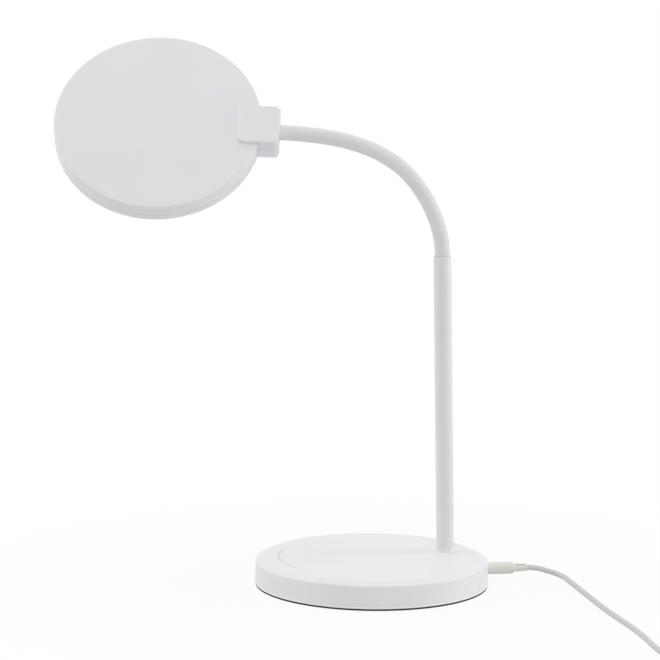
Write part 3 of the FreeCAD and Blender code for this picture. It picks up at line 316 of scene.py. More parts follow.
# %% Metals and inner plastics
def marked(name, dark, light, roughness, mark_size, mark_depth, is_metal=False, squeeze=(1, 1, 1)):
    """A surface with cloudy marks of a given size and depth, in millimetres. squeeze stretches the marks to lines."""
    spread, detail, strength = (0.06, 4.0, 0.3) if is_metal else (0.05, 3.0, 0.25)
    material, tree = new_material(name)
    spot = add(tree, "TexCoord").outputs["Object"]
    drawn = add(tree, "Mapping", {}, {"Vector": spot, "Scale": squeeze})
    marks = add(tree, "TexNoise", {}, {"Vector": drawn.outputs["Vector"], "Scale": 1 / (mark_size * mm),
                                       "Detail": detail})
    tone = add(tree, "ValToRGB", {}, {"Fac": marks.outputs["Fac"]})
    tone.color_ramp.elements[0].color = linear(dark)
    tone.color_ramp.elements[1].color = linear(light)
    gloss = add(tree, "MapRange", {}, {"Value": marks.outputs["Fac"], "To Min": roughness - spread,
                                       "To Max": roughness + spread})
    relief = add(tree, "Bump", {}, {"Height": marks.outputs["Fac"], "Strength": strength, "Distance": mark_depth * mm})
    nature = {"Metallic": 1.0} if is_metal else {"IOR": 1.5}
    skin = add(tree, "BsdfPrincipled", {}, {"Base Color": tone.outputs["Color"], "Roughness": gloss.outputs["Result"],
                                            "Normal": relief.outputs["Normal"], **nature})
    add(tree, "OutputMaterial", {}, {"Surface": skin.outputs["BSDF"]})
    return material


# Zinc plate on pressed sheet, links and cut screws: dull silver grey with a fine cloudy bloom.
zinc = marked("zinc_plated_steel", "#b4b7ba", "#cfd1d2", 0.38, 1.5, 0.02, True)
# Nickel plate on turned brass: smooth, bright and slightly yellow.
nickel = marked("nickel_plated_brass", "#c6c0ae", "#d8d3c4", 0.2, 2.0, 0.01, True)
# Tin plate on rolled sheet: bright, with faint lines along the roll.
tin = marked("tin_plated_steel", "#c8cacb", "#dcdddd", 0.24, 0.6, 0.01, True, (1, 0.08, 1))
# Rolled copper foil: warm, with soft reflections.
copper = marked("copper_foil", "#c07a55", "#d99a72", 0.3, 1.2, 0.01, True)
# Cast iron, left raw: dark, rough and grainy.
iron = marked("cast_iron", "#3b3c3e", "#5a5b5c", 0.62, 0.9, 0.12, True)
# Green solder mask, printed over a glass weave board: smooth and a little glossy.
green_board = marked("green_solder_mask", "#0f5a33", "#17703f", 0.3, 0.8, 0.03)
# Epoxy moulded round components: black and satin.
black_epoxy = marked("black_epoxy", "#161718", "#242526", 0.45, 0.5, 0.03)
# White solder mask on the LED board: plain and even.
white_mask = marked("white_solder_mask", "#e6e7e7", "#efefef", 0.35, 1.0, 0.02)
# Reflector film, drawn to a thin sheet: nearly white, matt with a slight sheen.
film = marked("white_reflector_film", "#eeeeec", "#f6f6f5", 0.55, 1.5, 0.02)
# The yellow resin cast over each LED: glossy.
led_resin = marked("yellow_led_resin", "#e8c24a", "#f2d672", 0.25, 0.6, 0.02)
# Injection moulded nylon: a warm white with a soft gloss.
nylon = marked("white_nylon", "#e2e1dc", "#ebeae6", 0.42, 1.0, 0.02)
print("metals and inner plastics, from", zinc.name, "to", nylon.name)

# %% [markdown]
# ## Helpers that make surfaces
# Most of the lamp is turned or drawn along a path, so each of its surfaces is a grid of points: rows along a profile or
# a path, and columns round it. The points of a whole grid are computed at once as an array, and each cell becomes a
# quad. A row whose points all fall together closes the surface with a pole.
#
# No moulded or bent edge is perfectly sharp. A profile's corners are therefore arcs, each with a held row just beside
# its ends, so that the smooth shading of the arc doesn't spill over the flat next to it.

# %% Surface helpers
def unit(vector):
    """A vector divided by its length."""
    return vector / np.linalg.norm(vector)


def rounded(corners, steps=7, hold=0.12):
    """An outline whose corners (a, b, radius) are arcs. The arc's centre lies on the corner's bisector at radius / sin
    of half the angle. Its points are the two end spokes mixed by sines, with a held point just before and after."""
    corners = np.array(corners, float)
    outline = []
    for before, here, after in zip(np.roll(corners, 1, 0), corners, np.roll(corners, -1, 0)):
        point, radius = here[:2], here[2]
        if radius == 0:
            outline.append(point[None])
            continue
        back, on = unit(before[:2] - point), unit(after[:2] - point)
        half = math.acos(np.clip(back @ on, -1, 1)) / 2
        reach = radius / math.tan(half)
        centre = point + unit(back + on) * radius / math.sin(half)
        start, end = point + back * reach - centre, point + on * reach - centre
        sweep = math.pi - 2 * half
        share = np.linspace(0, 1, steps)[:, None]
        arc = centre + (np.sin((1 - share) * sweep) * start + np.sin(share * sweep) * end) / math.sin(sweep)
        outline.append(np.concatenate([point[None] + back * (reach + hold), arc, point[None] + on * (reach + hold)]))
    return np.concatenate(outline)


def turn(outline, sides=192):
    """Turns an outline of (radius, height) rows round the Z axis: x = radius cos angle, y = radius sin angle."""
    angle = np.linspace(0, 2 * math.pi, sides, endpoint=False)
    radius, height = outline[:, :1], outline[:, 1:]
    return np.stack([radius * np.cos(angle), radius * np.sin(angle), height + 0 * angle], 2)


def along_x(points):
    """Lays a shape that was turned about Z along X: Z becomes X, and X points down."""
    return np.stack([points[..., 2], points[..., 1], -points[..., 0]], -1)


def put(place, points):
    """Points moved by a 4 x 4 placement."""
    return points @ place[:3, :3].T + place[:3, 3]


def grid_mesh(name, grids):
    """One mesh from grids (points, rows closed, columns closed), in millimetres. Cell (r, c) is the quad of its four
    corners. The UV map 'along' has U once round the columns and V the length along the rows' middles, in metres."""
    vertices, faces, uvs, first = [], [], [], 0
    for points, rows_closed, columns_closed in grids:
        rows, columns = points.shape[:2]
        r, c = np.meshgrid(np.arange(rows - 1 + rows_closed), np.arange(columns - 1 + columns_closed), indexing="ij")
        corner_r = np.stack([r, r, r + 1, r + 1], -1).reshape(-1, 4)
        corner_c = np.stack([c, c + 1, c + 1, c], -1).reshape(-1, 4)
        faces.append(first + corner_r % rows * columns + corner_c % columns)
        middles = points.mean(1)
        run = np.append(0, np.cumsum(np.linalg.norm(np.diff(middles, axis=0), axis=1)))
        run = np.append(run, 2 * run[-1] - run[-2]) * mm
        uvs.append(np.stack([corner_c / columns, run[corner_r]], -1).reshape(-1, 2))
        vertices.append(points.reshape(-1, 3) * mm)
        first += rows * columns
    mesh = bpy.data.meshes.new(name)
    mesh.from_pydata(np.concatenate(vertices).tolist(), [], np.concatenate(faces).tolist())
    layer = mesh.uv_layers.new(name="along")
    layer.data.foreach_set("uv", np.concatenate(uvs).astype(np.float32).ravel())
    return mesh


def close_mesh(mesh, sharp=35):
    """Merges the points of poles and seams, turns all faces outwards and shades the mesh smooth up to an angle."""
    work = bmesh.new()
    work.from_mesh(mesh)
    bmesh.ops.remove_doubles(work, verts=work.verts, dist=0.0004 * mm)
    bmesh.ops.recalc_face_normals(work, faces=work.faces)
    work.to_mesh(mesh)
    work.free()
    mesh.shade_smooth()
    mesh.set_sharp_from_angle(angle=math.radians(sharp))


def piece(name, grids, material, body, nodes, holes=(), sharp=35):
    """A finished piece: its mesh, the holes cut through it, its material, its body and the CAD nodes it stands for."""
    mesh = grid_mesh(name, grids)
    close_mesh(mesh, sharp)
    made = bpy.data.objects.new(name, mesh)
    bpy.context.scene.collection.objects.link(made)
    if holes:
        cut_holes(made, holes, sharp)
    made.data.materials.clear()
    made.data.materials.append(material)
    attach(made, body)
    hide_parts(*nodes)
    print(name, len(made.data.polygons), "faces")
    return made


def cut_holes(made, cutters, sharp):
    """Cuts closed shapes out of a piece with an exact Boolean, and keeps the result as its mesh."""
    knives = []
    for cutter in cutters:
        mesh = grid_mesh("knife", [(cutter, False, True)])
        close_mesh(mesh, sharp)
        knife = bpy.data.objects.new("knife", mesh)
        bpy.context.scene.collection.objects.link(knife)
        knives.append(knife)
        boolean = made.modifiers.new("cut", "BOOLEAN")
        boolean.operation, boolean.solver, boolean.object = "DIFFERENCE", "EXACT", knife
    bpy.context.view_layer.update()
    whole = made.evaluated_get(bpy.context.evaluated_depsgraph_get())
    mesh = bpy.data.meshes.new_from_object(whole)
    made.modifiers.clear()
    made.data = mesh
    for knife in knives:
        bpy.data.objects.remove(knife)
    mesh.shade_smooth()
    mesh.set_sharp_from_angle(angle=math.radians(sharp))


def bar(diameter, low, high, sides=96):
    """A closed round bar along Z, with a pole in the middle of each end."""
    radius = diameter / 2
    return turn(np.array([(0, low), (radius, low), (radius, high), (0, high)]), sides)


print("a square with four arc corners has", len(rounded([(0, 0, 1), (4, 0, 1), (4, 4, 1), (0, 4, 1)])), "points")

# %% [markdown]
# ## Base cover
# The cover is one moulding: a flat top, a sloping edge 6 mm wide that drops 3 mm, and a wall that widens by half a
# millimetre towards the foot so that it leaves its mould. At the foot its edge is rounded, which shows as a thin
# bright line above the dark pad, helped by a painted highlight in the material. The touch control is a fine arc
# pressed into the top at the left.
#
# The cover is turned, but the arc isn't round the whole axis. So the height of the top is a function of radius and
# azimuth: the flat height less a groove, which is a smooth step in radius times a smooth window in azimuth. The rows
# are close together only where the groove runs. Two holes are cut at the end, for the stem and for the jack.

# %% Base cover surface
base_radius, base_height, pad_thickness = 85.0, 20.0, 1.2
flat_radius, wall_top, wall_draft, cover_wall = 78.9, 17.5, 0.5, 2.2
touch_depth = 0.25


def smooth_step(value):
    """Rises from 0 to 1 with level ends: 3 v squared less 2 v cubed, held at 0 and 1 outside."""
    value = np.clip(value, 0, 1)
    return value * value * (3 - 2 * value)


def cover_points():
    """The cover's outline turned round the axis, less the groove: depth x step in radius x window in azimuth."""
    reach = np.array([1.4, 1.1, 1.0, 0.86, 0.72, 0.4])
    groove_rows = touch_radius + touch_width / 2 * np.concatenate([reach, [0], -reach[::-1]])
    outside = rounded([
        (0, base_height, 0), (0, base_height - cover_wall, 0),
        (flat_radius - cover_wall / 2, base_height - cover_wall, 0.3),
        (base_radius - cover_wall - wall_draft, wall_top - cover_wall / 2, 0.3),
        (base_radius - cover_wall, pad_thickness, 0.15),
        (base_radius, pad_thickness, 0.6),
        (base_radius - wall_draft, wall_top, 0.7),
        (flat_radius, base_height, 0.7),
    ])
    top = np.stack([groove_rows, np.full(len(groove_rows), base_height)], 1)
    outline = np.concatenate([outside[1:], top, outside[:1]])
    points = turn(outline, 720)
    radius = np.hypot(points[..., 0], points[..., 1])
    azimuth = np.degrees(np.arctan2(points[..., 1], points[..., 0])) % 360
    across = smooth_step((touch_width / 2 - np.abs(radius - touch_radius)) / (0.16 * touch_width))
    lengthwise = smooth_step((touch_spread / 2 - np.abs(azimuth - touch_azimuth)) / 0.8)
    on_top = points[..., 2] > base_height - 0.01
    points[..., 2] -= touch_depth * across * lengthwise * on_top
    return points


stem_foot = np.array((53.9, 22.2, base_height))
stem_lean, stem_diameter = 1.4, 12.9
stem_place = np.array(Matrix.Translation(Vector(stem_foot)) @ Matrix.Rotation(math.radians(-stem_lean), 4, "Y"))
jack_place = np.array(Matrix.Translation(Vector((0, 0, jack_height)))
                      @ Matrix.Rotation(math.radians(jack_azimuth), 4, "Z"))
stem_hole = put(stem_place, bar(stem_diameter + 0.1, -8, 8))
jack_hole_diameter = 9.1
jack_hole = put(jack_place, along_x(bar(jack_hole_diameter, base_radius - cover_wall - 3, base_radius + 3)))
piece("base_cover_shell", [(cover_points(), True, True)], abs_base, "base",
      ["base_cover"], holes=[stem_hole, jack_hole])

# %% [markdown]
# ## Pad
# The pad is nearly as wide as the base, so the base stands on a thin dark line. Its lower edge is slightly rounded by
# the cutter.

# %% Pad surface
pad_radius = base_radius - 0.4
pad_outline = rounded([(0, 0, 0), (pad_radius, 0, 0.15), (pad_radius, pad_thickness, 0), (0, pad_thickness, 0)])
piece("non_slip_pad_sheet", [(turn(pad_outline, 360), False, True)], rubber_black, "base",
      ["non_slip_pad"])

# %% [markdown]
# ## Stem and collar
# The stem is a straight tube with a small round at its mouth, where the neck comes out. At its foot a thin collar
# covers the joint. The stem leans 1.4 degrees towards the head, as in the photograph, but the base is level: so the
# collar's lowest row isn't a plain circle of the leaning tube. Each of its points is moved along the stem until it
# touches the base's top.

# %% Stem tube and collar surfaces
stem_length, stem_wall, mouth_radius, mouth_depth, seat_depth = 218.1, 0.9, 5.8, 4.0, 4.5
stem_radius = stem_diameter / 2
bore_radius = stem_radius - stem_wall
stem_outline = rounded([
    (bore_radius, -seat_depth, 0.15), (stem_radius, -seat_depth, 0.2), (stem_radius, stem_length, 0.5),
    (mouth_radius, stem_length, 0.12), (mouth_radius, stem_length - mouth_depth, 0),
    (bore_radius, stem_length - mouth_depth, 0),
])
piece("stem_tube_painted", [(put(stem_place, turn(stem_outline, 128)), True, True)], enamel,
      "base", ["stem_tube"])


def collar_points():
    """The collar's outline turned round the stem. A point below the base's top slides up along the stem to it."""
    foot, inside = 7.4, stem_radius + 0.05
    flare = np.linspace(0, 1, 9)[1:-1]
    outline = np.concatenate([
        [(inside, -1.0), (foot - 0.15, -1.0), (foot, -0.85), (foot, 0.55)],
        np.stack([foot + (inside + 0.25 - foot) * flare ** 0.6, 0.7 + 1.7 * flare], 1),
        [(inside + 0.25, 2.4), (inside + 0.1, 2.5), (inside, 2.45)],
    ])
    points = put(stem_place, turn(outline, 128))
    stem_way = stem_place[:3, 2]
    below = np.clip(base_height - points[..., 2], 0, None)
    return points + below[..., None] / stem_way[2] * stem_way


piece("stem_collar_painted", [(collar_points(), True, True)], enamel, "base", ["stem_collar"])

# %% [markdown]
# ## Neck sleeve
# The neck is a wound steel hose in a silicone sleeve. The frame carries it as eight links on seven pivots, with a
# sleeve section round each. A sleeve is soft, so it shouldn't break at the pivots: here each piece of it runs from the
# middle of one link to the middle of the next.
#
# The neck's line is a chain of arcs that meet without a kink. A point on it is found by walking each arc: an arc of
# length s and turn t has the chord s sin(t/2) / (t/2), at half its turn. The tube's rows are circles square to it.

# %% Neck sleeve surfaces
neck_length, neck_bend, pivots = 165.5, 86.6, 7
neck_shares = np.array((0.059, 0.094, 0.135, 0.112, 0.091, 0.122, 0.176, 0.211))
neck_diameter, sleeve_wall = 11.0, 1.2
lengths = neck_length * neck_shares
turns = np.full(8, neck_bend / pivots)
turns[[0, 7]] /= 2
marks = np.append(0, np.cumsum(lengths))
bends = stem_lean + np.append(0, np.cumsum(turns))


def heading(bend):
    """The neck's way in space where it has turned by an angle from upright towards the head."""
    angle = np.radians(bend)
    return np.stack([-np.sin(angle), 0 * angle, np.cos(angle)], -1)


def neck_line(distance):
    """Points and bends of the neck's line at distances from the stem's mouth. In arc k the bend grows evenly, and the
    place is the arc's start plus a chord at the mean of the two bends."""
    k = np.clip(np.searchsorted(marks, distance, side="right") - 1, 0, 7)
    starts = np.concatenate([[put(stem_place, np.array((0, 0, stem_length)))], np.zeros((8, 3))])
    for i in range(8):
        half = math.radians(turns[i]) / 2
        starts[i + 1] = starts[i] + heading(bends[i] + turns[i] / 2) * lengths[i] * math.sin(half) / half
    into = distance - marks[k]
    turned = turns[k] * into / lengths[k]
    half = np.radians(turned) / 2
    chord = into * np.sinc(half / math.pi)
    return starts[k] + heading(bends[k] + turned / 2) * chord[..., None], bends[k] + turned


def sleeve_points(low, high, sides=72, step=0.9):
    """Circles square to the neck's line: out along the outer radius and back along the inner one."""
    distance = np.linspace(low, high, int((high - low) / step) + 2)
    middles, bend = neck_line(distance)
    across = heading(bend - 90)
    angle = np.linspace(0, 2 * math.pi, sides, endpoint=False)
    spokes = np.cos(angle)[None, :, None] * across[:, None] + np.sin(angle)[None, :, None] * np.array((0, 1, 0))
    outer = middles[:, None] + spokes * neck_diameter / 2
    inner = middles[:, None] + spokes * (neck_diameter / 2 - sleeve_wall)
    return np.concatenate([outer, inner[::-1]])


middles_of_links = (marks[:-1] + marks[1:]) / 2
sleeve_ends = np.concatenate([[0.3 - mouth_depth], middles_of_links[1:7], [neck_length - 0.06]])
for i in range(1, 8):
    low, high = sleeve_ends[i - 1], sleeve_ends[i]
    mesh = grid_mesh(f"neck_sleeve_{i}_silicone", [(sleeve_points(low, high), True, True)])
    close_mesh(mesh)
    mesh.materials.append(silicone)
    sleeve = bpy.data.objects.new(mesh.name, mesh)
    bpy.context.scene.collection.objects.link(sleeve)
    reach = min(marks[i] - max(low, 0), high - marks[i])
    start, end = neck_line(np.array([marks[i] - reach, marks[i] + reach]))[0] * mm
    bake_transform(sleeve)
    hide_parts(*(["neck_sleeve_0", "neck_sleeve_1"] if i == 1 else [f"neck_sleeve_{i}"]))
arm_end = neck_line(np.array([neck_length]))[0][0]
print("arm's end", np.round(arm_end, 2), "bend", round(float(bends[-1]), 2))

# %% [markdown]
# ## Head: back cover, ring and diffuser
# The head is a flat round box. Its back cover is the face that shows: flat, with a rounded edge that catches the light
# as a bright rim. A ring closes it from the front and holds the diffuser. Cover and ring meet in a fine gap round the
# rim, and both their edges are slightly broken there, so the gap shows as a thin shadow line.
#
# All three are turned in the head's own frame and then put on the arm's end, which the head can turn about.

# %% Head surfaces
head_roll, block_length, block_grip = 51.5, 31.2, 18.1
head_radius, head_thickness, head_wall = 74.9, 16.0, 2.0
head_back = head_thickness / 2
head_front = head_back - head_thickness
head_seam = head_back - 0.62 * head_thickness
lip_back = head_front + 1.2
opening = head_radius - 4.8
head_place = np.array(Matrix.Translation(Vector(arm_end)) @ Matrix.Rotation(math.radians(90 - bends[-1]), 4, "Y")
                      @ Matrix.Rotation(math.radians(head_roll), 4, "X"))
disc_place = head_place @ np.array(Matrix.Translation((-(block_length - block_grip + head_radius), 0, 0)))

cover_outline = rounded([
    (0, head_back, 0), (head_radius, head_back, 1.8), (head_radius, head_seam + 0.2, 0.2),
    (head_radius - head_wall, head_seam + 0.2, 0), (head_radius - head_wall, head_back - head_wall, 0.3),
    (0, head_back - head_wall, 0),
])
piece("head_back_cover_shell", [(put(disc_place, turn(cover_outline, 360)), False, True)], abs_white,
      "head", ["head_back_cover"])
spigot = head_radius - head_wall - 0.05
ring_outline = rounded([
    (opening, head_front, 0.3), (head_radius, head_front, 1.8), (head_radius, head_seam, 0.2), (spigot, head_seam, 0),
    (spigot, head_seam + 3.0, 0.15), (spigot - 1.0, head_seam + 3.0, 0.15), (spigot - 1.0, lip_back, 0),
    (opening, lip_back, 0.2),
])
piece("front_ring_shell", [(put(disc_place, turn(ring_outline, 360)), True, True)], abs_white,
      "head", ["front_ring"])
sheet_radius, sheet_thickness = opening + 1.7, 2.0
sheet_back = lip_back + sheet_thickness
sheet_outline = rounded([(0, lip_back, 0), (sheet_radius, lip_back, 0.3), (sheet_radius, sheet_back, 0.3),
                         (0, sheet_back, 0)])
piece("diffuser_sheet", [(put(disc_place, turn(sheet_outline, 180)), False, True)], opal,
      "head", ["diffuser"])

# %% [markdown]
# ## Block
# The block that grips the head's rim is two moulded halves, screwed together from below. Seen from the back it is a
# square plate that overlaps the disc, with rounded corners and a soft edge that catches light on the side towards the
# head. The halves meet at mid height in a fine line.
#
# A half is a rounded prism: its outline is a square whose corners are arcs, and its profile gives each row a height and
# an inset. A point is its corner's centre plus (corner radius less inset) times the corner's spoke, so the round of the
# edge runs evenly round the corners too. The head's room, the pivot's mouth and the screw holes are cut out of it.

# %% Block surfaces
block_width, block_depth, corner_radius = 32.0, 20.2, 4.2


def block_half_points(outer, edge_radius, slope=0.0, seam=0.35, steps=10):
    """Rows (inset, height) round a square outline with arc corners, closed by a pole at each end. Above the disc's face
    the end over the disc leans in: the two corners there move in x by slope x height above the face."""
    side = math.copysign(1, outer)
    angle = np.linspace(0, math.pi / 2, steps)
    spoke_angles = np.concatenate([angle + k * math.pi / 2 for k in range(4)])
    spokes = np.stack([np.cos(spoke_angles), np.sin(spoke_angles)], 1)
    half_x, half_y = block_length / 2 - corner_radius, block_width / 2 - corner_radius
    signs = np.repeat(np.array([(1, 1), (-1, 1), (-1, -1), (1, -1)]), steps, axis=0)
    centres = signs * (half_x, half_y) - (block_length / 2, 0)
    profile = rounded([(corner_radius, 0, 0), (0, 0, seam), (0, side * outer, edge_radius),
                       (corner_radius, side * outer, 0)], hold=0.1)
    rows = [np.broadcast_to((-block_length / 2, 0), centres.shape)]
    rows += [centres + spokes * (corner_radius - inset) for inset in profile[:, 0]]
    rows += [np.broadcast_to((-block_length / 2, 0), centres.shape)]
    heights = side * np.concatenate([[0], profile[:, 1], [side * outer]])
    flat = np.stack(rows)
    above = np.clip(np.abs(heights) - head_back, 0, None)[:, None] * (signs[:, 0] < 0)
    flat[1:-1, :, 0] += slope * above[1:-1]
    return np.concatenate([flat, np.broadcast_to(heights[:, None, None], (*flat.shape[:2], 1))], 2)


head_room = put(disc_place, bar(2 * head_radius + 0.1, head_front, head_back, 360))
mouth_diameter, chamber_diameter, screw_head_diameter, screw_spacing = 10.1, 15.1, 4.5, 22.0
pivot_mouth = put(head_place, along_x(bar(mouth_diameter, -6.0, 3.0)))
pivot_chamber = put(head_place, along_x(bar(chamber_diameter, -6.5, -3.0)))
screw_holes = [put(head_place, bar(screw_head_diameter, -12.0, -7.3, 48) + np.array((-8.5, y, 0)))
               for y in (-screw_spacing / 2, screw_spacing / 2)]
upper_points = put(head_place, block_half_points(block_depth / 2, 0.9, 0.9))
lower_points = put(head_place, block_half_points(-block_depth / 2, 1.6))
block_upper = piece("block_upper_shell", [(upper_points, False, True)], abs_white, "head",
                    ["block_upper"], holes=[head_room, pivot_mouth, pivot_chamber])
block_lower = piece("block_lower_shell", [(lower_points, False, True)], abs_white, "head",
                    ["block_lower"], holes=[head_room, pivot_mouth, pivot_chamber] + screw_holes)
for half in (block_upper, block_lower):
    weighted = half.modifiers.new("even shading", "WEIGHTED_NORMAL")
    weighted.keep_sharp = True

# %% [markdown]
# ## Plug and its strain relief
# The plug is a short round body pushed into the base's wall. Behind it sits the strain relief, a soft tapered sleeve
# with slots. The slots let it bend a little at each row, so the cord never kinks at its end. They are cut from above
# and from below, so that two ribs are left along its sides to hold it together.
#
# The relief's radius is a function of angle and length. Between slots it is the taper. In a slot it is the flat floor
# of the cut, floor / cos of the angle from the slot's middle, wherever that is less than the taper.

# %% Plug and relief surfaces
plug_face, plug_length, plug_diameter = base_radius + 0.05, 19.8, 8.7
plug_back = plug_face + plug_length
plug_radius = plug_diameter / 2
plug_outline = rounded([(0, plug_face, 0), (plug_radius, plug_face, 0.25), (plug_radius, plug_back, 0.45),
                        (0, plug_back, 0)])
piece("plug_body_moulded", [(put(jack_place, along_x(turn(plug_outline, 96))), False, True)], pvc,
      "base", ["plug_body"])
relief_length, relief_wide, relief_tip, cord_diameter = 10.5, 6.4, 5.4, 4.0


def relief_points(length, wide, tip, rows, slot=1.1, sides=128, step=0.1):
    """Radius over length and angle: the taper, or in a slot's window the lesser of taper and floor / |cos(angle)|."""
    run = np.arange(0, length + step / 2, step)[:, None]
    angle = np.linspace(0, 2 * math.pi, sides, endpoint=False)[None]
    taper = wide / 2 + (tip - wide) / 2 * run / length + 0 * angle
    pitch = length / (rows + 1)
    floor = cord_diameter / 2 + 0.05
    number = np.clip(np.round(run / pitch), 1, rows)
    in_slot = smooth_step((slot / 2 + 0.05 - np.abs(run - number * pitch)) / 0.1)
    cut = np.minimum(taper, floor / np.maximum(np.abs(np.cos(angle)), 1e-6))
    radius = taper + (cut - taper) * in_slot
    ring = np.stack([radius * np.cos(angle), radius * np.sin(angle), run + 0 * angle], 2)
    ends = [np.zeros((1, sides, 3)), ring, np.zeros((1, sides, 3))]
    ends[2][..., 2] = length
    return np.concatenate(ends)


relief_ring = relief_points(relief_length, relief_wide, relief_tip, 4) + np.array((0, 0, plug_back))
piece("plug_relief_slotted", [(put(jack_place, along_x(relief_ring)), False, True)], relief_pvc,
      "base", ["plug_relief"], sharp=50)

# %% [markdown]
# ## Cord
# The cord is 4 mm thick PVC, stiff enough to leave its strain relief straight and then sink to the table in a wide
# curve. The photograph shows only its first part. The rest is a guess: such lamps often come with about 1.2 m of cord
# and a USB plug, so what is left is wound into a neat coil, outside the picture where the cord leaves it.
#
# A cord is one smooth curve. It is a NURBS spline through its control points, with a round section. A spline of order 3
# touches the middle of each run between two points and cuts inside the points themselves. For the coil the points
# therefore stand on a slightly larger circle: radius / cos of half the angle between them.

# %% Cord and coil as one spline
cord_radius = cord_diameter / 2
leave = put(jack_place, np.array((plug_back + relief_length, 0, 0)))
straight = put(jack_place, np.array((plug_back + relief_length + 7.0, 0, -0.3)))
on_the_table = np.array([
    (128.6, 18.6, 6.7), (135.8, 14.4, 5.6), (141.0, 7.9, 4.6), (144.9, -4.0, 3.5), (150.0, -20.8, 2.4),
    (156.0, -44.6, 2.0), (162.4, -74.0, 2.0), (169.7, -101.0, 2.0), (177.2, -127.0, 2.0), (183.3, -153.0, 2.0),
    (187.9, -180.5, 2.0),
])
coil_middle = np.array((223.0, -233.0))
coil_turns, coil_pitch, layer_rise, coil_ease, swing_width = 6.5, 4.6, 4.5, 0.12, 4.0
coil_outer = 22.0 + coil_pitch * coil_turns / 4
usb_half_height = 3.8


def coil_path(turns, enlarge=1.0):
    """The coil as a function of turns: the radius shrinks evenly to the middle of the coil and grows again, eased where
    it reverses; the height rises one layer there; and the last half turn swings out and up to the USB plug's height."""
    half = coil_turns / 2
    softened = np.sqrt((turns - half) ** 2 + coil_ease ** 2) - coil_ease
    radius = coil_outer - coil_pitch * (half - softened) + swing_width * smooth_step((turns - coil_turns + 0.5) / 0.5)
    height = cord_radius + layer_rise * smooth_step((turns - half + 0.25) / 0.5)
    height = height + (usb_half_height - cord_radius - layer_rise) * smooth_step((turns - coil_turns + 0.25) / 0.25)
    angle = math.pi * (1 + 2 * turns)
    return np.stack([coil_middle[0] + enlarge * radius * np.cos(angle),
                     coil_middle[1] + enlarge * radius * np.sin(angle), height], 1)


points_per_turn = 16
steps = (np.arange(int(coil_turns * points_per_turn)) + 0.5) / points_per_turn
coil_points = coil_path(steps, 1 / math.cos(math.pi / points_per_turn))
coil_start, coil_end = coil_path(np.array([0.0, coil_turns]))
arrive = [coil_start + (0, 26.0, 0), coil_start + (0, 4.0, 0)]
usb_start = coil_end + (0, cord_diameter, 0)
route = np.concatenate([[leave, straight], on_the_table, arrive, coil_points, [usb_start]])

curve = bpy.data.curves.new("cord_pvc", "CURVE")
curve.dimensions = "3D"
curve.bevel_depth = cord_radius * mm
curve.bevel_resolution = 6
curve.use_fill_caps = True
curve.resolution_u = 6
spline = curve.splines.new("NURBS")
spline.points.add(len(route) - 1)
spline.points.foreach_set("co", np.column_stack([route * mm, np.ones(len(route))]).ravel())
spline.order_u = 3
spline.use_endpoint_u = True
spline.use_smooth = True
curve.materials.append(cord_pvc)
cord = bpy.data.objects.new("cord_pvc", curve)
bpy.context.scene.collection.objects.link(cord)
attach(cord, "base")
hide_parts("cord", "cord_coil")
print("cord points", len(route))

# %% [markdown]
# ## The pieces that keep their solid's shape
# The other pieces are right as they were drawn: plate, weight, screws, boards, links, washers. They keep their meshes
# and only get materials. Their triangles are loose, so a Weld modifier joins them and an Edge Split keeps the edges
# crisp while the round faces are shaded smooth.

# %% Materials and shading of the carried-over nodes
finishes = {
    zinc: ["base_plate", "base_screws", "board_screws", "stem_washer", "stem_nut", "neck_ring", "friction_washer",
           "block_screws", "led_board_screws"] + [f"neck_link_{i}" for i in range(8)],
    nickel: ["stem_nipple", "neck_ferrule", "pivot_bush", "plug_barrel"],
    iron: ["counterweight"],
    green_board: ["control_board"],
    black_epoxy: ["board_parts", "dc_jack"],
    copper: ["touch_electrode"],
    white_mask: ["led_board"],
    led_resin: ["led_chips"],
    film: ["reflector_sheet", "reflector_frame"],
    tin: ["usb_shell"],
    nylon: ["usb_tongue"],
    pvc: ["usb_relief", "usb_body"],
    cord_pvc: ["jack_lead", "stem_lead", "head_lead"],
}
for material, names in finishes.items():
    for name in names:
        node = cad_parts[name]
        node.data.materials.clear()
        node.data.materials.append(material)
        node.data.shade_smooth()
        weld = node.modifiers.new("join triangles", "WELD")
        weld.merge_threshold = 0.001 * mm
        split = node.modifiers.new("crisp edges", "EDGE_SPLIT")
        split.split_angle = math.radians(30)
print("carried over", sum(len(names) for names in finishes.values()))

# %% [markdown]
# ## Floor and light
# The photograph looks like a white studio: the ground is white without an edge, and the stem is bright along both
# sides and grey in the middle, as large softboxes at both sides would make it. The lamps below were placed and powered
# until the tones on the lamp came close to the photograph's.
#
# The floor must look white without pouring more light on the lamp. So its shader gives plain white to the camera and to
# reflections, mixed with its own lit surface, which keeps the lamp's soft shadow. For light that bounces it is a
# plain pale floor.

# %% Floor, world and lamps
def looked_at(tree):
    """A node that is 1 for rays that look (camera, reflection, glass) and 0 for rays that gather light."""
    rays = add(tree, "LightPath").outputs
    looks = add(tree, "Math", {"operation": "MAXIMUM"}, {0: rays["Is Camera Ray"], 1: rays["Is Glossy Ray"]})
    return add(tree, "Math", {"operation": "MAXIMUM"}, {0: looks.outputs[0], 1: rays["Is Transmission Ray"]})


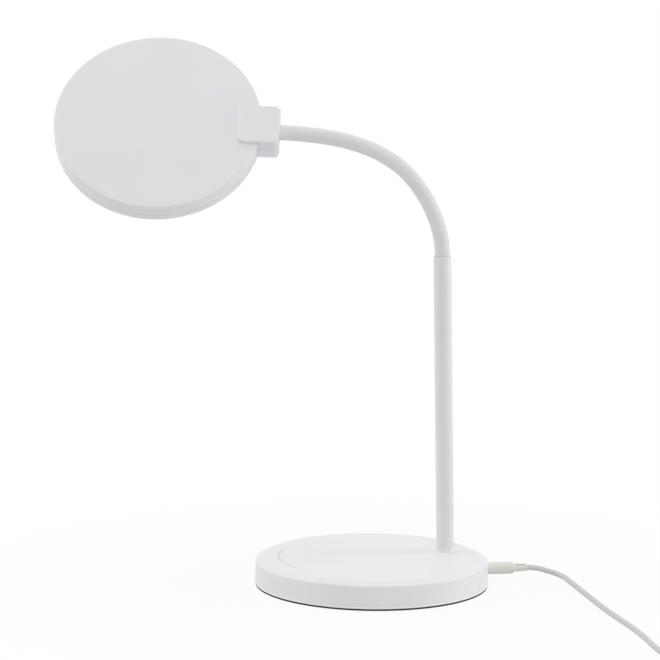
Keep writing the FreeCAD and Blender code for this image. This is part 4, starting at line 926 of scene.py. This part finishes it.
floor_material, tree = new_material("white_studio_floor")
seen = looked_at(tree)
spot = add(tree, "NewGeometry").outputs["Position"]
away = add(tree, "VectorMath", {"operation": "LENGTH"}, {0: spot})
white_share = add(tree, "MapRange", {"interpolation_type": "SMOOTHSTEP"},
                  {"Value": away.outputs["Value"], "From Min": 0.1, "From Max": 0.4, "To Min": 0.92, "To Max": 1.0})
seen = add(tree, "Math", {"operation": "MULTIPLY"}, {0: seen.outputs[0], 1: white_share.outputs["Result"]})
lit = add(tree, "BsdfDiffuse", {}, {"Color": linear("#e8e8e8")})
white = add(tree, "Emission", {}, {"Color": (1, 1, 1, 1), "Strength": 1.0})
both = add(tree, "MixShader", {}, {0: seen.outputs[0], 1: lit.outputs[0], 2: white.outputs[0]})
add(tree, "OutputMaterial", {}, {"Surface": both.outputs[0]})
# The white is only for rays that look at the floor and lights nothing, so the floor isn't sampled as a lamp. This
# lowers the grain on the neck and on the head's sides a little, and leaves the colours as they are.
floor_material.cycles.emission_sampling = "NONE"
floor_mesh = bpy.data.meshes.new("floor")
floor_mesh.from_pydata([(-12, -12, 0), (12, -12, 0), (12, 12, 0), (-12, 12, 0)], [], [(0, 1, 2, 3)])
floor_mesh.materials.append(floor_material)
floor = bpy.data.objects.new("floor", floor_mesh)
bpy.context.scene.collection.objects.link(floor)

sky_light = 0.36
world = bpy.data.worlds.new("studio")
bpy.context.scene.world = world
world.use_nodes = True
tree = world.node_tree
tree.nodes.clear()
seen = looked_at(tree)
strength = add(tree, "MapRange", {}, {"Value": seen.outputs[0], "To Min": sky_light, "To Max": 1.0})
backdrop = add(tree, "Background", {}, {"Color": (1, 1, 1, 1), "Strength": strength.outputs["Result"]})
add(tree, "OutputWorld", {}, {"Surface": backdrop.outputs[0]})


def softbox(name, place, aim, width, height, power):
    """A rectangular area lamp that looks from one point at another, in metres and watts. No camera sees it directly."""
    data = bpy.data.lights.new(name, "AREA")
    data.shape, data.size, data.size_y, data.energy = "RECTANGLE", width, height, power
    lamp = bpy.data.objects.new(name, data)
    lamp.location = place
    lamp.rotation_mode = "QUATERNION"
    lamp.rotation_quaternion = (Vector(aim) - Vector(place)).to_track_quat("-Z", "Y")
    lamp.visible_camera = False
    bpy.context.scene.collection.objects.link(lamp)
    return lamp


middle = (0.0, 0.0, 0.18)
softbox("overhead", (0.0, 0.1, 1.7), middle, 1.6, 1.6, 7.4)
softbox("left_behind", (-1.2, 0.8, 1.2), middle, 0.9, 1.2, 3.8)
softbox("left", (-1.5, 0.25, 0.7), middle, 0.9, 1.2, 5.8)
softbox("right", (1.5, 0.25, 0.7), middle, 0.9, 1.2, 6.2)
softbox("right_low", (1.5, -0.05, 0.3), middle, 0.9, 0.6, 2.6)
softbox("front", (0.0, -1.95, 1.6), middle, 1.4, 1.0, 12.5)
print("lamps", len(bpy.data.lights), "sky", sky_light)
